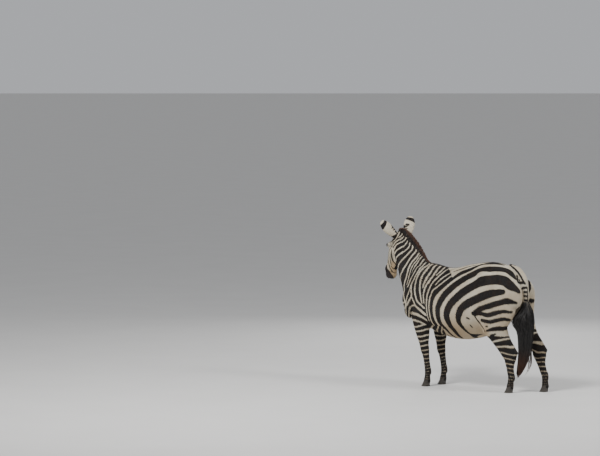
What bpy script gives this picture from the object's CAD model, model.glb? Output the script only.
import math

import bpy
import numpy as np
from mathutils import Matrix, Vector


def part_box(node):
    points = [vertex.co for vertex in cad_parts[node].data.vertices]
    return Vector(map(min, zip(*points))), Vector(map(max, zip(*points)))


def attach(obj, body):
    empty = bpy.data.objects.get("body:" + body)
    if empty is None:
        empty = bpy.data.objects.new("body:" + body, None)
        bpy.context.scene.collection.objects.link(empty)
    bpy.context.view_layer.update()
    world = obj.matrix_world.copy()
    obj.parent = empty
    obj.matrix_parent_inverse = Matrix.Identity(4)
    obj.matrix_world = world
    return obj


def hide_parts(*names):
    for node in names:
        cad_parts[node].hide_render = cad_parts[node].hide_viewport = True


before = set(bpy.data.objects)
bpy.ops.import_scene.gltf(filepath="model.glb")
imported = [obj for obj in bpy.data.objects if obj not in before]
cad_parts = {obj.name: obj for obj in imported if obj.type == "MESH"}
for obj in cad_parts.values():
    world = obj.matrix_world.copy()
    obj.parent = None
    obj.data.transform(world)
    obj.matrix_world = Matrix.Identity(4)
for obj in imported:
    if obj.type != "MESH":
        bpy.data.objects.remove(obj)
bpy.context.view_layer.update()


# ---------- small helpers ----------
def unit(v):
    v = np.asarray(v, float)
    return v / np.maximum(np.linalg.norm(v, axis=-1, keepdims=True), 1e-9)


def ramp(v, low, high):
    """0 below low, 1 above high, smooth between."""
    t = np.clip((v - low) / (high - low), 0, 1)
    return t * t * (3 - 2 * t)


def along(rows, at):
    """Catmull-Rom through rows of numbers, the end rows repeated."""
    rows = np.asarray(rows, float)
    at = np.asarray(at, float)
    i = np.clip(np.floor(at).astype(int), 0, len(rows) - 2)
    t = (at - i)[..., None]
    p, a, b, n = (rows[np.clip(i + k, 0, len(rows) - 1)] for k in (-1, 0, 1, 2))
    slope_a = (b - p) / 2
    slope_b = (n - a) / 2
    t2 = t * t
    t3 = t2 * t
    first = (2 * t3 - 3 * t2 + 1) * a + (t3 - 2 * t2 + t) * slope_a
    return first + (3 * t2 - 2 * t3) * b + (t3 - t2) * slope_b


FULL_TURN = 6.28  # near enough, for random phases
WAVES = 5
WAVE_SUM = 2.6  # brings the sum of the waves to about -1..1


def wobble(p, size, seed):
    """Smooth noise in about -1..1 from a few sine waves, one column per point."""
    rng = np.random.default_rng(seed)
    total = np.zeros(len(p))
    for _ in range(WAVES):
        wave = rng.normal(size=3)
        wave *= 2 * math.pi / (size * rng.uniform(0.8, 1.7) * np.linalg.norm(wave))
        total += np.sin(p @ wave + rng.uniform(0, FULL_TURN))
    return total / WAVE_SUM


def spot(u, wide, v, high):
    """1 where u and v are zero, fading away from there."""
    return np.exp(-((u / wide) ** 2) - (v / high) ** 2)


# ---------- the body's forms: the same named sizes as the solids ----------
BLEND = 46
FINE_BLEND = 22
EYE_RADIUS = 22
LID_REACH = 20.5  # half the length of the opening between the lids
EAR_LENGTH = 228
EAR_HALF_WIDTH = 53
EAR_SUNK = 20  # how far the ear starts below its base
EAR_WRAP = 1.35  # half the turn of the ear's leaf, in radians
EAR_WALL = 3.4
POLL = np.array([926, -78, 1662])
HEAD_TURN = math.radians(-25)
HEAD_HANG = math.radians(26)
FACE_LINE = 36
UP = np.array([0.0, 0.0, 1.0])
FACING = np.array([math.cos(HEAD_TURN), math.sin(HEAD_TURN), 0])
HEAD_DOWN = FACING * math.sin(HEAD_HANG) - UP * math.cos(HEAD_HANG)
HEAD_OUT = FACING * math.cos(HEAD_HANG) + UP * math.sin(HEAD_HANG)
HEAD_LEFT = np.array([-FACING[1], FACING[0], 0])
HEAD_AXES = np.array([HEAD_DOWN, HEAD_LEFT, HEAD_OUT])
HEAD_ORIGIN = POLL + FACE_LINE * HEAD_OUT


def from_head(p):
    return HEAD_ORIGIN + np.asarray(p, float) @ HEAD_AXES


def to_head(p):
    return (p - HEAD_ORIGIN) @ HEAD_AXES.T


# Trunk stations: [x, top, bottom, half width, egg].
TRUNK = [
    [-500, 1346, 880, 172, 0.05],
    [-420, 1370, 790, 224, 0.1],
    [-300, 1386, 690, 260, 0.14],
    [-130, 1356, 570, 284, 0.16],
    [40, 1312, 524, 294, 0.18],
    [190, 1296, 544, 278, 0.22],
    [330, 1304, 596, 238, 0.3],
    [450, 1326, 650, 202, 0.34],
    [560, 1304, 696, 186, 0.2],
    [640, 1210, 740, 168, 0.05],
]
# Neck centre line with half width, half depth and egg.
NECK = [
    [520, 0, 1075, 130, 262, 0.18],
    [640, -4, 1160, 128, 220, 0.25],
    [718, -14, 1268, 112, 190, 0.25],
    [782, -30, 1356, 98, 166, 0.2],
    [838, -48, 1430, 88, 148, 0.15],
    [886, -64, 1496, 80, 132, 0.1],
    [926, -78, 1552, 70, 100, 0.05],
]
# Head stations: [s, face side, throat side, half width, egg].
SKULL = [
    [8, -40, -150, 62, 0],
    [60, -16, -168, 84, 0.05],
    [120, 0, -168, 94, 0.05],
    [180, 4, -164, 97, 0.05],
    [245, 2, -150, 93, 0],
    [315, -4, -136, 80, 0],
    [385, -8, -124, 66, 0],
    [440, -8, -118, 59, 0],
    [500, -16, -116, 56, 0],
    [552, -44, -112, 46, 0],
]
JAW = [
    [88, -130, -222, 46, 0],
    [140, -110, -247, 58, 0],
    [205, -100, -236, 58, 0],
    [270, -100, -206, 49, 0],
    [345, -95, -172, 40, 0],
    [420, -90, -150, 34, 0],
    [494, -90, -154, 42, 0],
    [540, -94, -146, 36, 0],
]
# Joints of each leg; y is counted outward from the middle.
FORE_JOINTS = {
    "left": {
        "elbow": [530, 150, 736], "knee": [481, 131, 398],
        "fetlock": [450, 120, 170], "coronet": [460, 118, 66],
    },
    "right": {
        "elbow": [470, 150, 736], "knee": [430, 131, 380],
        "fetlock": [387, 119, 170], "coronet": [397, 117, 66],
    },
}
HIND_JOINTS = {
    "left": {
        "hip": [-436, 128, 1085], "stifle": [-378, 162, 730], "hock": [-574, 132, 400],
        "fetlock": [-590, 132, 172], "coronet": [-576, 132, 66],
    },
    "right": {
        "hip": [-480, 128, 1085], "stifle": [-545, 166, 800], "hock": [-774, 150, 416],
        "fetlock": [-840, 152, 176], "coronet": [-846, 152, 66],
    },
}
# A thigh that is stretched back is narrower from front to back: the share of its depth kept.
THIGH_DEPTH = {"left": 1, "right": 0.8}
# Sections between joints: [bone, share of the bone, half width, half depth, shift backward].
FORE_SECTIONS = [
    ["elbow", "knee", -0.1, 66, 108, 8],
    ["elbow", "knee", 0.18, 62, 98, 6],
    ["elbow", "knee", 0.5, 50, 80, 4],
    ["elbow", "knee", 0.8, 41, 56, 0],
    ["elbow", "knee", 1, 43, 50, 0],
    ["knee", "fetlock", 0.14, 38, 43, 2],
    ["knee", "fetlock", 0.4, 28, 38, 3],
    ["knee", "fetlock", 0.75, 28, 36, 2],
    ["knee", "fetlock", 1, 34, 38, 2],
    ["fetlock", "coronet", 0.5, 30, 33, 0],
    ["fetlock", "coronet", 1.05, 36, 40, 0],
]
HIND_SECTIONS = [
    ["hip", "stifle", 0, 92, 205, -8],
    ["hip", "stifle", 0.5, 98, 218, 16],
    ["hip", "stifle", 0.95, 88, 172, 12],
    ["stifle", "hock", 0.35, 70, 116, 0],
    ["stifle", "hock", 0.65, 52, 96, 0],
    ["stifle", "hock", 0.88, 42, 90, 0],
    ["hock", "fetlock", 0.06, 43, 80, -2],
    ["hock", "fetlock", 0.3, 35, 62, -7],
    ["hock", "fetlock", 0.55, 30, 46, -8],
    ["hock", "fetlock", 0.8, 30, 41, -5],
    ["hock", "fetlock", 1, 35, 40, 2],
    ["fetlock", "coronet", 0.5, 31, 35, 0],
    ["fetlock", "coronet", 1.05, 36, 41, 0],
]
# Ellipsoids on both sides of trunk and head: [place], [radii], degrees about Y, degrees about Z.
TRUNK_MASSES = [
    [[-622, 136, 1050], [92, 74, 146], 8, 0],
    [[-262, 184, 1226], [70, 50, 54], 0, 0],
    [[520, 104, 1130], [92, 74, 180], 28, 0],
    [[672, 116, 930], [94, 82, 124], 0, 0],
    [[500, 150, 842], [98, 62, 132], -14, 0],
    [[712, 58, 820], [66, 62, 96], 0, 0],
]
HEAD_MASSES = [
    [[160, 48, -172], [78, 24, 66], 0, 0],
    [[172, 84, -40], [40, 29, 30], 0, 0],
    [[262, 64, -84], [84, 14, 16], -12, -12],
    [[466, 40, -46], [34, 22, 28], 0, 0],
]
# Middle line of the dock, with its half width and half depth.
DOCK = [
    [-504, 0, 1320, 44, 42, 0],
    [-592, 5, 1290, 46, 42, 0],
    [-665, 14, 1206, 46, 40, 0],
    [-692, 22, 1092, 44, 36, 0],
    [-696, 24, 990, 40, 34, 0],
]
# Tail hair: centre, half width across, half depth along X.
TAIL_HAIR = [
    [-694, 22, 1068, 44, 38],
    [-698, 24, 990, 46, 42],
    [-700, 26, 920, 62, 54],
    [-698, 32, 850, 98, 78],
    [-694, 40, 760, 122, 96],
    [-702, 34, 650, 100, 80],
    [-702, 34, 530, 84, 70],
    [-692, 40, 420, 76, 60],
    [-668, 50, 310, 66, 52],
    [-643, 55, 215, 38, 30],
    [-624, 58, 138, 8, 8],
]
# Mane: line of the crest and the hair's height over it.
CREST = [
    [502, 0, 1330, 12],
    [552, -1, 1346, 34],
    [616, -8, 1402, 62],
    [696, -16, 1484, 80],
    [772, -34, 1550, 82],
    [840, -54, 1606, 78],
    [900, -74, 1650, 52],
    [946, -92, 1652, 34],
]
EAR_TILT = {
    1: {"apart": 92, "out": 45, "ahead": 15, "spin": 8},
    -1: {"apart": 86, "out": 23, "ahead": 17, "spin": -34},
}
EYE_PLACE = [174, 97, -42]

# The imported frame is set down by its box; an eye says how far.
TO_ROW = np.array((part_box("eye_left")[0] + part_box("eye_left")[1]) / 2) - from_head(EYE_PLACE) / 1000


# ---------- the field ----------
REACH = 90  # forms further than this from a batch of points are left out


def ellipse(u, v, s, a, b, c):
    level = np.sqrt((u / a) ** 2 + (v / b) ** 2 + (s / c) ** 2)
    slope = np.sqrt((u / a**2) ** 2 + (v / b**2) ** 2 + (s / c**2) ** 2)
    return level * (level - 1) / np.maximum(slope, 1e-9)


def box_gap(low, high, p_low, p_high):
    return math.sqrt((np.maximum(0, np.maximum(low - p_high, p_low - high)) ** 2).sum())


class Chain:
    """Signed distance, near enough, to an ellipse swept along a spline. Rows: [x, y, z, wide, deep, egg]."""

    def __init__(self, rows, across=((0, 1, 0),), caps=(None, None), steps=4):
        rows = np.array(rows, float)
        count = (len(rows) - 1) * steps
        self.rows = along(rows, np.arange(count + 1) / steps)
        self.sections = []
        lows, highs = [], []
        for i in range(count):
            a, b = self.rows[i], self.rows[i + 1]
            step = b[:3] - a[:3]
            length = np.linalg.norm(step)
            ahead = step / length
            wide = np.array(across[0]) + (np.array(across[-1]) - np.array(across[0])) * i / count
            side = unit(wide - ahead * (wide @ ahead))
            up = np.cross(ahead, side)
            reach = max(a[3], a[4], b[3], b[4])
            low = np.minimum(a[:3], b[:3]) - reach
            high = np.maximum(a[:3], b[:3]) + reach
            ends = (caps[0] if i == 0 else None, caps[1] if i == count - 1 else None)
            self.sections.append((a, b, length, ahead, side, up, ends))
            lows.append(low)
            highs.append(high)
        self.lows, self.highs = np.array(lows), np.array(highs)
        self.low, self.high = self.lows.min(0), self.highs.max(0)

    def __call__(self, p, low, high):
        best = None
        if box_gap(self.low, self.high, low, high) > REACH:
            return None
        gaps = np.maximum(0, np.maximum(self.lows - high, low - self.highs))
        for i in np.flatnonzero((gaps**2).sum(1) < REACH**2):
            a, b, length, ahead, side, up, ends = self.sections[i]
            rel = p - a[:3].astype(p.dtype)
            run = rel @ ahead.astype(p.dtype)
            t = np.clip(run / length, 0, 1)
            w0 = a[3] + (b[3] - a[3]) * t
            h = a[4] + (b[4] - a[4]) * t
            egg = a[5] + (b[5] - a[5]) * t
            v = rel @ up.astype(p.dtype)
            u = rel @ side.astype(p.dtype)
            past = run - t * length
            w = w0 * (1 - egg * np.clip(v / h, -1, 1))
            cap = np.minimum(w0, h)
            if ends[0]:
                cap = np.where(t <= 0, ends[0], cap)
            if ends[1]:
                cap = np.where(t >= 1, ends[1], cap)
            d = ellipse(u, v, past, w, h, cap)
            best = d if best is None else np.minimum(best, d)
        return best


class Mass:
    """An ellipsoid; turn is degrees about Y, then about Z."""

    def __init__(self, centre, radii, turn=(0, 0)):
        y, z = np.radians(turn)
        about_y = np.array([[math.cos(y), 0, math.sin(y)], [0, 1, 0], [-math.sin(y), 0, math.cos(y)]])
        about_z = np.array([[math.cos(z), -math.sin(z), 0], [math.sin(z), math.cos(z), 0], [0, 0, 1]])
        self.centre = np.array(centre, float)
        self.radii = radii
        self.axes = (about_z @ about_y).T
        self.low = self.centre - max(radii)
        self.high = self.centre + max(radii)

    def __call__(self, p, low, high):
        if box_gap(self.low, self.high, low, high) > REACH:
            return None
        local = (p - self.centre.astype(p.dtype)) @ self.axes.T.astype(p.dtype)
        return ellipse(local[:, 0], local[:, 1], local[:, 2], *self.radii)


def smooth_join(a, b, k):
    h = np.clip(0.5 + 0.5 * (b - a) / k, 0, 1)
    return b + (a - b) * h - k * h * (1 - h)


def smooth_cut(a, b, k):
    """a without b."""
    return -smooth_join(-a, b, k)


def joined(fields, k, start=None):
    def field(p, low, high):
        d = np.full(len(p), 1e3, p.dtype) if start is None else start(p, low, high)
        for f in fields:
            part = f(p, low, high)
            if part is not None:
                d = smooth_join(d, part, k)
        return d

    return field


def both_sides(masses):
    return [
        Mass([x, y * side, z], radii, [about_y, about_z * side])
        for (x, y, z), radii, about_y, about_z in masses
        for side in (1, -1)
    ]


def side_joints(joints, side):
    out = 1 if side == "left" else -1
    return {name: np.array([x, y * out, z], float) for name, (x, y, z) in joints[side].items()}


def leg_rows(joints, sections, side):
    rows = []
    for first, last, share, wide, deep, back in sections:
        a, b = joints[first], joints[last]
        rear = np.cross(unit(b - a), [0, 1, 0])
        at = a + (b - a) * share - rear * back * np.sign(rear[0])
        kept = THIGH_DEPTH[side] if first == "hip" or last == "hock" else 1
        rows.append([*at, wide, deep * kept, 0])
    return rows


def heel(joints):
    """The point of the hock and the tendon above it."""
    hock, stifle = joints["hock"], joints["stifle"]
    tip = hock + [-76, 0, 30]
    above = hock + (stifle - hock) * 0.5 + [-62, 0, 0]
    return Chain([[*(hock + [-8, 0, -14]), 22, 24, 0], [*tip, 19, 20, 0], [*above, 12, 22, 0]], steps=2)


def head_row(row):
    s, face, throat, wide, egg = row
    return [s, 0, (face + throat) / 2, wide, (face - throat) / 2, egg]


trunk_rows = [[x, 0, (top + low) / 2, wide, (top - low) / 2, egg] for x, top, low, wide, egg in TRUNK]
trunk = Chain(trunk_rows, caps=(88, 128))
neck = Chain(NECK, across=((0, 1, 0), HEAD_LEFT), caps=(None, 46))
torso = joined([trunk, neck, *both_sides(TRUNK_MASSES)], BLEND)
LEGS = {}
for side in ("left", "right"):
    fore = side_joints(FORE_JOINTS, side)
    hind = side_joints(HIND_JOINTS, side)
    LEGS["fore_" + side] = [Chain(leg_rows(fore, FORE_SECTIONS, side), steps=3)]
    LEGS["hind_" + side] = [Chain(leg_rows(hind, HIND_SECTIONS, side), steps=3), heel(hind)]
leg_fields = [parts[0] if len(parts) == 1 else joined(parts, 20) for parts in LEGS.values()]
body_field = joined(leg_fields, BLEND * 0.7, start=torso)

head_parts = [
    Chain([head_row(r) for r in SKULL], caps=(44, 20)),
    Chain([head_row(r) for r in JAW], caps=(26, 18)),
    *both_sides(HEAD_MASSES),
    Mass([508, 0, -142], [30, 32, 18]),
]
head_local = joined(head_parts, FINE_BLEND)
dock = Chain(DOCK)


class Ear:
    """A cupped leaf: an arc of an ellipse at each height t (0 to 1), open to the front."""

    def __init__(self, sign):
        tilt = EAR_TILT[sign]
        self.base = from_head([28, tilt["apart"] * sign, -66])
        lean = UP + HEAD_LEFT * sign * math.tan(math.radians(tilt["out"]))
        self.up = unit(lean + FACING * math.tan(math.radians(tilt["ahead"])))
        ahead = unit(FACING - self.up * (FACING @ self.up))
        wide = np.cross(self.up, ahead)
        spin = math.radians(tilt["spin"])
        self.open = ahead * math.cos(spin) + wide * math.sin(spin)
        self.wide = np.cross(self.up, self.open)
        self.axes = np.array([self.wide, self.open, self.up])
        centre = self.base + self.up * EAR_LENGTH * 0.45
        self.low, self.high = centre - 150, centre + 150

    def shape(self, t):
        half = EAR_HALF_WIDTH * (0.62 + 1.5 * t) * np.sqrt(np.maximum(0.004, 1 - np.clip(t, 0, 1) ** 2.4))
        half = half * (1 - 0.3 * t)
        return half, 0.95 * half * (1 - 0.45 * t), 10 * np.sin(math.pi * np.clip(t, 0, 1))

    def local(self, p):
        return (p - self.base) @ self.axes.T

    def place(self, t, angle, thick=0.0):
        """A point of the leaf at height t and an angle from its back, up to EAR_WRAP either way."""
        half, cup, bend = self.shape(t)
        across = np.sin(angle) / math.sin(EAR_WRAP) * (half + thick)
        deep = -np.cos(angle) * (cup + thick) + bend
        return self.base + (across[:, None] * self.wide + deep[:, None] * self.open
                            + (t * EAR_LENGTH - EAR_SUNK)[:, None] * self.up)

    def hollow(self, across, deep, t):
        """Half width and bend of the leaf at height t, and whether each point lies inside its cup."""
        half, cup, bend = self.shape(np.clip(t, 0, 1))
        return half, bend, np.hypot(across / half, (deep - bend) / np.maximum(cup, 1)) < 1

    def __call__(self, p, low, high):
        if box_gap(self.low, self.high, low, high) > REACH:
            return None
        across, deep, height = self.local(p).T
        t = np.clip((height + EAR_SUNK) / EAR_LENGTH, 0, 0.985)
        half, cup, bend = self.shape(t)
        a = half / math.sin(EAR_WRAP)
        level = np.sqrt((across / a) ** 2 + ((deep - bend) / cup) ** 2)
        slope = np.sqrt((across / a**2) ** 2 + ((deep - bend) / cup**2) ** 2)
        wall = level * (level - 1) / np.maximum(slope, 1e-6)
        rim = np.maximum(0, deep - bend + math.cos(EAR_WRAP) * cup)
        past = height + EAR_SUNK - t * EAR_LENGTH
        return np.sqrt(wall**2 + rim**2 + past**2) - EAR_WALL


EARS = {1: Ear(1), -1: Ear(-1)}


class Eye:
    """Where an eyeball sits and how its lids lie: nose is toward the muzzle, lift toward the forehead."""

    def __init__(self, sign):
        self.centre = from_head([EYE_PLACE[0], EYE_PLACE[1] * sign, EYE_PLACE[2]])
        self.gaze = unit(HEAD_LEFT * sign + HEAD_OUT * 0.3 + HEAD_DOWN * 0.12)
        self.nose = unit(HEAD_DOWN * 0.97 - HEAD_OUT * 0.24)
        self.nose = unit(self.nose - self.gaze * (self.nose @ self.gaze))
        self.lift = np.cross(self.gaze, self.nose) * sign
        if self.lift @ HEAD_OUT < 0:
            self.lift = -self.lift
        self.axes = np.array([self.nose, self.lift, self.gaze])

    def opening(self, nose, lift):
        """Positive inside the almond between the lids, about in millimetres."""
        span = np.clip(nose / LID_REACH, -1, 1)
        top = 9.6 * (1 - span**2) ** 0.75 * (1 - 0.18 * span) - 1.2 * span
        low = -7.6 * (1 - span**2) ** 0.9 - 1.2 * span
        inside = np.minimum(top - lift, lift - low)
        return np.minimum(inside, LID_REACH - np.abs(nose))


EYES = {1: Eye(1), -1: Eye(-1)}


LID_RANGE = 70  # points further than this from an eye are left as they are
LID_GAP = 0.4  # between the eyeball and the socket
LID_MIDDLE = 2.3  # from the eyeball to the middle of a lid
LID_HALF = 2.0


def lids(d, p):
    """Lids of even thickness over the eyeball, with an almond opening, and the folds above and below."""
    for eye in EYES.values():
        rel = p - eye.centre
        r = np.linalg.norm(rel, axis=1)
        near = np.flatnonzero(r < LID_RANGE)
        if not len(near):
            continue
        nose, lift, gaze = (rel[near] @ eye.axes.T).T
        r = r[near]
        part = smooth_cut(d[near], r - EYE_RADIUS - LID_GAP, 3)
        shell = np.abs(r - EYE_RADIUS - LID_MIDDLE) - LID_HALF
        opening = np.where(gaze > 0, eye.opening(nose, lift), -20)
        lid = smooth_cut(np.maximum(shell, -gaze - 6), -opening, 2.0)
        part = smooth_join(part, lid, 5)
        crease = np.abs(r - 30 - 0.1 * nose) / 3.2
        upper = 2.2 * np.exp(-crease**2) * ramp(lift, 6, 16) * ramp(gaze, 2, 10)
        upper = upper * ramp(-np.abs(nose), -24, -8)
        lower = 1.4 * np.exp(-((r - 29) / 2.6) ** 2) * ramp(-lift, 8, 15) * ramp(gaze, 0, 8)
        d[near] = part + upper + lower
    return d


def face_detail(d, p):
    """Nostrils, mouth, lips, the hollows of cheek and temple, and the groove of the jaw."""
    s, l, n = to_head(p).T
    side = np.abs(l)
    here = (s > -80) & (s < 600) & (side < 170) & (n > -330) & (n < 90)
    i = np.flatnonzero(here)
    if not len(i):
        return d
    s, side, n = s[i], side[i], n[i]
    part = d[i]
    # nostril: a slanted comma, open to the side and a little forward, with a raised wing
    x = s - 486
    y = n + 58
    tall = 0.55 * x + 0.83 * y
    long = 0.83 * x - 0.55 * y
    hole = np.sqrt((tall / 8.5) ** 2 + ((long - 0.02 * tall**2) / 23) ** 2 + ((side - 54) / 17) ** 2) - 1
    rim = np.exp(-((hole - 0.35) / 0.32) ** 2) * ramp(side, 25, 38)
    part = part - 2.6 * rim
    part = smooth_cut(part, hole * 9, 4)
    # mouth line
    mouth = -112 + 5 * ramp(s, 450, 500) - 3 * ramp(s, 500, 540)
    cut = np.exp(-((n - mouth) / 2.6) ** 2) * ramp(s, 452, 470)
    upper = np.exp(-((n - mouth - 9) / 6) ** 2) * ramp(s, 470, 510)
    lower = np.exp(-((n - mouth + 9) / 6) ** 2) * ramp(s, 470, 505)
    part = part + 5.5 * cut - 1.2 * (upper + lower)
    # wrinkles at the corner of the mouth
    part = part + 1.3 * np.sin(s / 3.4) * spot(s - 448, 14, n - mouth, 16)
    # hollow in front of the masseter, temple pit over the eye, groove under the cheek's crest
    part = part + 3.2 * spot(s - 268, 30, n + 150, 40)
    part = part + 5.0 * spot(s - 122, 20, n + 16, 17) * ramp(side, 45, 62)
    part = part + 2.4 * spot(s - 350, 70, n + 62, 13) * ramp(side, 30, 45)
    # grooves beside the middle of the nose, folds of the throat
    part = part + 1.6 * np.exp(-((side - 14) / 7) ** 2) * np.exp(-((s - 490) / 36) ** 2) * ramp(n, -70, -40)
    part = part + 1.2 * np.sin(s / 8 + n / 14) * spot(s - 60, 60, n + 210, 30)
    d[i] = part
    return d


# Hollows on both sides: name: x, half width, lean, the height it leans about, height, half height, how
# far from the middle it begins and is whole, depth.
HOLLOWS = {
    "flank": (-232, 26, 0.5, 800, 800, 110, 110, 190, 5.0),
    "loin": (-190, 62, 0, 0, 1215, 56, 110, 170, 7.0),
    "blade": (398, 24, -0.3, 1100, 1110, 120, 90, 150, 5.0),
    "elbow": (408, 22, 0, 0, 800, 74, 110, 160, 6.0),
    "arm": (604, 22, 0.25, 900, 900, 110, 90, 150, 5.0),
}


def body_detail(d, p):
    """Shallow forms under the skin: ribs, hollows, the grooves of back and chest, and the rear seam."""
    x, y, z = p.T
    side = np.abs(y)
    ribs = np.sin((x - 0.34 * (z - 900)) / 13.5) * spot(x - 60, 210, z - 960, 170)
    d = d + 0.9 * ribs * ramp(side, 120, 220)
    for at, wide, lean, about, height, high, begins, whole, deep in HOLLOWS.values():
        d = d + deep * spot(x - at + lean * (z - about), wide, z - height, high) * ramp(side, begins, whole)
    spine = np.exp(-((side - 34) / 20) ** 2) * ramp(z, 1200, 1290) * ramp(-x, -420, -200)
    d = d + 2.2 * spine
    d = d + 9.0 * (spot(y, 14, z - 860, 120) * ramp(x, 640, 720))
    d = d + 12.0 * (spot(side, 16, z - 900, 130) * ramp(-x, 560, 640))
    return d


COAT = 3.6  # how far the skin lies inside the coat's tips


def flesh(p, low, high):
    """The solids' own outline."""
    d = body_field(p, low, high)
    local = to_head(p)
    part = head_local(local, local.min(0), local.max(0))
    return smooth_join(d, part, FINE_BLEND * 1.4)


def skin_field(p, low, high):
    d = flesh(p, low, high)
    d = body_detail(d, p)
    d = face_detail(d, p)
    tail = dock(p, low, high)
    if tail is not None:
        d = smooth_join(d, tail, 18)
    d = d + COAT * (0.62 + 0.38 * ramp(p[:, 0], 900, 700))
    for ear in EARS.values():
        part = ear(p, low, high)
        if part is not None:
            d = smooth_join(d, part, 12)
    return lids(d, p)


def evaluate(field, p, batch=40000):
    """The field at many points, in batches that lie close together."""
    out = np.empty(len(p), np.float32)
    for i in range(0, len(p), batch):
        q = p[i : i + batch]
        out[i : i + batch] = field(q, q.min(0), q.max(0))
    return out


# ---------- the mesh: surface nets on a grid that is finest round the head ----------
ROUGH = 1.0
FINE_CELL = 3.0 * ROUGH
COARSE_CELL = 9.0 * ROUGH
FINE_CELLS = 120 / ROUGH
FADE = 60 / ROUGH
BLOCK = 8
GRID_CENTRE = from_head([170, 0, -70])
BODY_LOW, BODY_HIGH = np.array([-960, -330, 10]), np.array([1250, 330, 1920])
BLOCKS_LOW, BLOCKS_HIGH = [-1010, -380, -40], [1300, 380, 1960]
KEY_SPAN = 4096  # more than the grid's cells along any axis


def spread(rho):
    """Millimetres from the grid's centre for a distance in cells."""
    past = np.maximum(0, rho - FINE_CELLS)
    missed = (COARSE_CELL - FINE_CELL) * FADE * (1 - np.exp(-past / FADE))
    return FINE_CELL * (rho - past) + COARSE_CELL * past - missed


def to_body(cells):
    rho = np.linalg.norm(cells, axis=-1, keepdims=True)
    return GRID_CENTRE + cells * (spread(rho) / np.maximum(rho, 1e-6))


def surface(field):
    """Vertices and four-sided faces of the field's zero level."""
    table = np.linspace(0, 700, 4000)
    low = -np.interp(GRID_CENTRE - BODY_LOW, spread(table), table) * 1.02
    high = np.interp(BODY_HIGH - GRID_CENTRE, spread(table), table) * 1.3
    lo = np.floor(low / BLOCK).astype(int) - 1
    hi = np.ceil(high / BLOCK).astype(int) + 1
    axes = [np.arange(a, b) for a, b in zip(lo, hi)]
    blocks = np.stack(np.meshgrid(*axes, indexing="ij"), -1).reshape(-1, 3)
    middle = (blocks + 0.5) * BLOCK
    rho = np.linalg.norm(middle, axis=1)
    size = np.maximum(spread(rho + 1) - spread(rho), spread(rho) / np.maximum(rho, 1))
    place = to_body(middle).astype(np.float32)
    keep = np.all((place > BLOCKS_LOW) & (place < BLOCKS_HIGH), axis=1)
    blocks, place, size = blocks[keep], place[keep], size[keep]
    order = np.lexsort((blocks[:, 2], blocks[:, 1] // 4, blocks[:, 0] // 4))
    blocks, place, size = blocks[order], place[order], size[order]
    value = evaluate(field, place, 400)
    blocks = blocks[np.abs(value) < size * BLOCK * 1.15 + 6]
    steps = np.stack(np.meshgrid(*[np.arange(BLOCK + 1)] * 3, indexing="ij"), -1).reshape(-1, 3)
    corners = np.array([[c & 1, c >> 1 & 1, c >> 2 & 1] for c in range(8)])
    edges = [(a, a | bit) for a in range(8) for bit in (1, 2, 4) if not a & bit]

    def key(c):
        c = c + KEY_SPAN // 2
        return (c[:, 0] * KEY_SPAN + c[:, 1]) * KEY_SPAN + c[:, 2]

    places, keys, crossings = [], [], [[], [], []]
    for i in range(0, len(blocks), 40):
        some = blocks[i : i + 40]
        cells = some[:, None] * BLOCK + steps
        p = to_body(cells.reshape(-1, 3).astype(float)).astype(np.float32)
        v = field(p, p.min(0), p.max(0)).reshape(len(some), BLOCK + 1, BLOCK + 1, BLOCK + 1)
        inside = v < 0
        around = np.stack([inside[:, x : x + BLOCK, y : y + BLOCK, z : z + BLOCK] for x, y, z in corners], -1)
        count = around.sum(-1)
        b, x, y, z = np.nonzero((count > 0) & (count < 8))
        if not len(b):
            continue
        at = np.stack([v[b, x + c[0], y + c[1], z + c[2]] for c in corners], -1)
        total = np.zeros((len(b), 3))
        number = np.zeros(len(b))
        for e, f in edges:
            cross = (at[:, e] < 0) != (at[:, f] < 0)
            t = np.where(cross, at[:, e] / np.where(cross, at[:, e] - at[:, f], 1), 0)
            total += np.where(cross[:, None], corners[e] + t[:, None] * (corners[f] - corners[e]), 0)
            number += cross
        cell = some[b] * BLOCK + np.stack([x, y, z], -1)
        places.append(to_body(cell + total / number[:, None]))
        keys.append(key(cell))
        for axis in range(3):
            step = np.eye(3, dtype=int)[axis]
            a = inside[:, :BLOCK, :BLOCK, :BLOCK]
            c = inside[:, step[0] : step[0] + BLOCK, step[1] : step[1] + BLOCK, step[2] : step[2] + BLOCK]
            b, x, y, z = np.nonzero(a != c)
            start = some[b] * BLOCK + np.stack([x, y, z], -1)
            crossings[axis].append(np.column_stack([start, a[b, x, y, z]]))
    places = np.concatenate(places).astype(np.float32)
    keys = np.concatenate(keys)
    order = np.argsort(keys)
    ranked = keys[order]
    faces = []
    for axis in range(3):
        edge = np.concatenate(crossings[axis])
        first = np.eye(3, dtype=int)[(axis + 1) % 3]
        second = np.eye(3, dtype=int)[(axis + 2) % 3]
        corner = []
        good = np.ones(len(edge), bool)
        for m, n in ((0, 0), (1, 0), (1, 1), (0, 1)):
            wanted = key(edge[:, :3] - m * first - n * second)
            spot = np.minimum(np.searchsorted(ranked, wanted), len(ranked) - 1)
            good &= ranked[spot] == wanted
            corner.append(order[spot])
        quad = np.stack(corner, -1)
        flip = edge[:, 3] == 0
        quad[flip] = quad[flip][:, ::-1]
        faces.append(quad[good])
    faces = np.concatenate(faces)
    return settled(field, places, 4.0), faces


def slope_of(field, p, value, step=0.4):
    """The field's slope at each point, from its value there and a short step along each axis."""
    slope = np.empty_like(p)
    for axis in range(3):
        q = p.copy()
        q[:, axis] += step
        slope[:, axis] = (evaluate(field, q) - value) / step
    return slope


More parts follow.
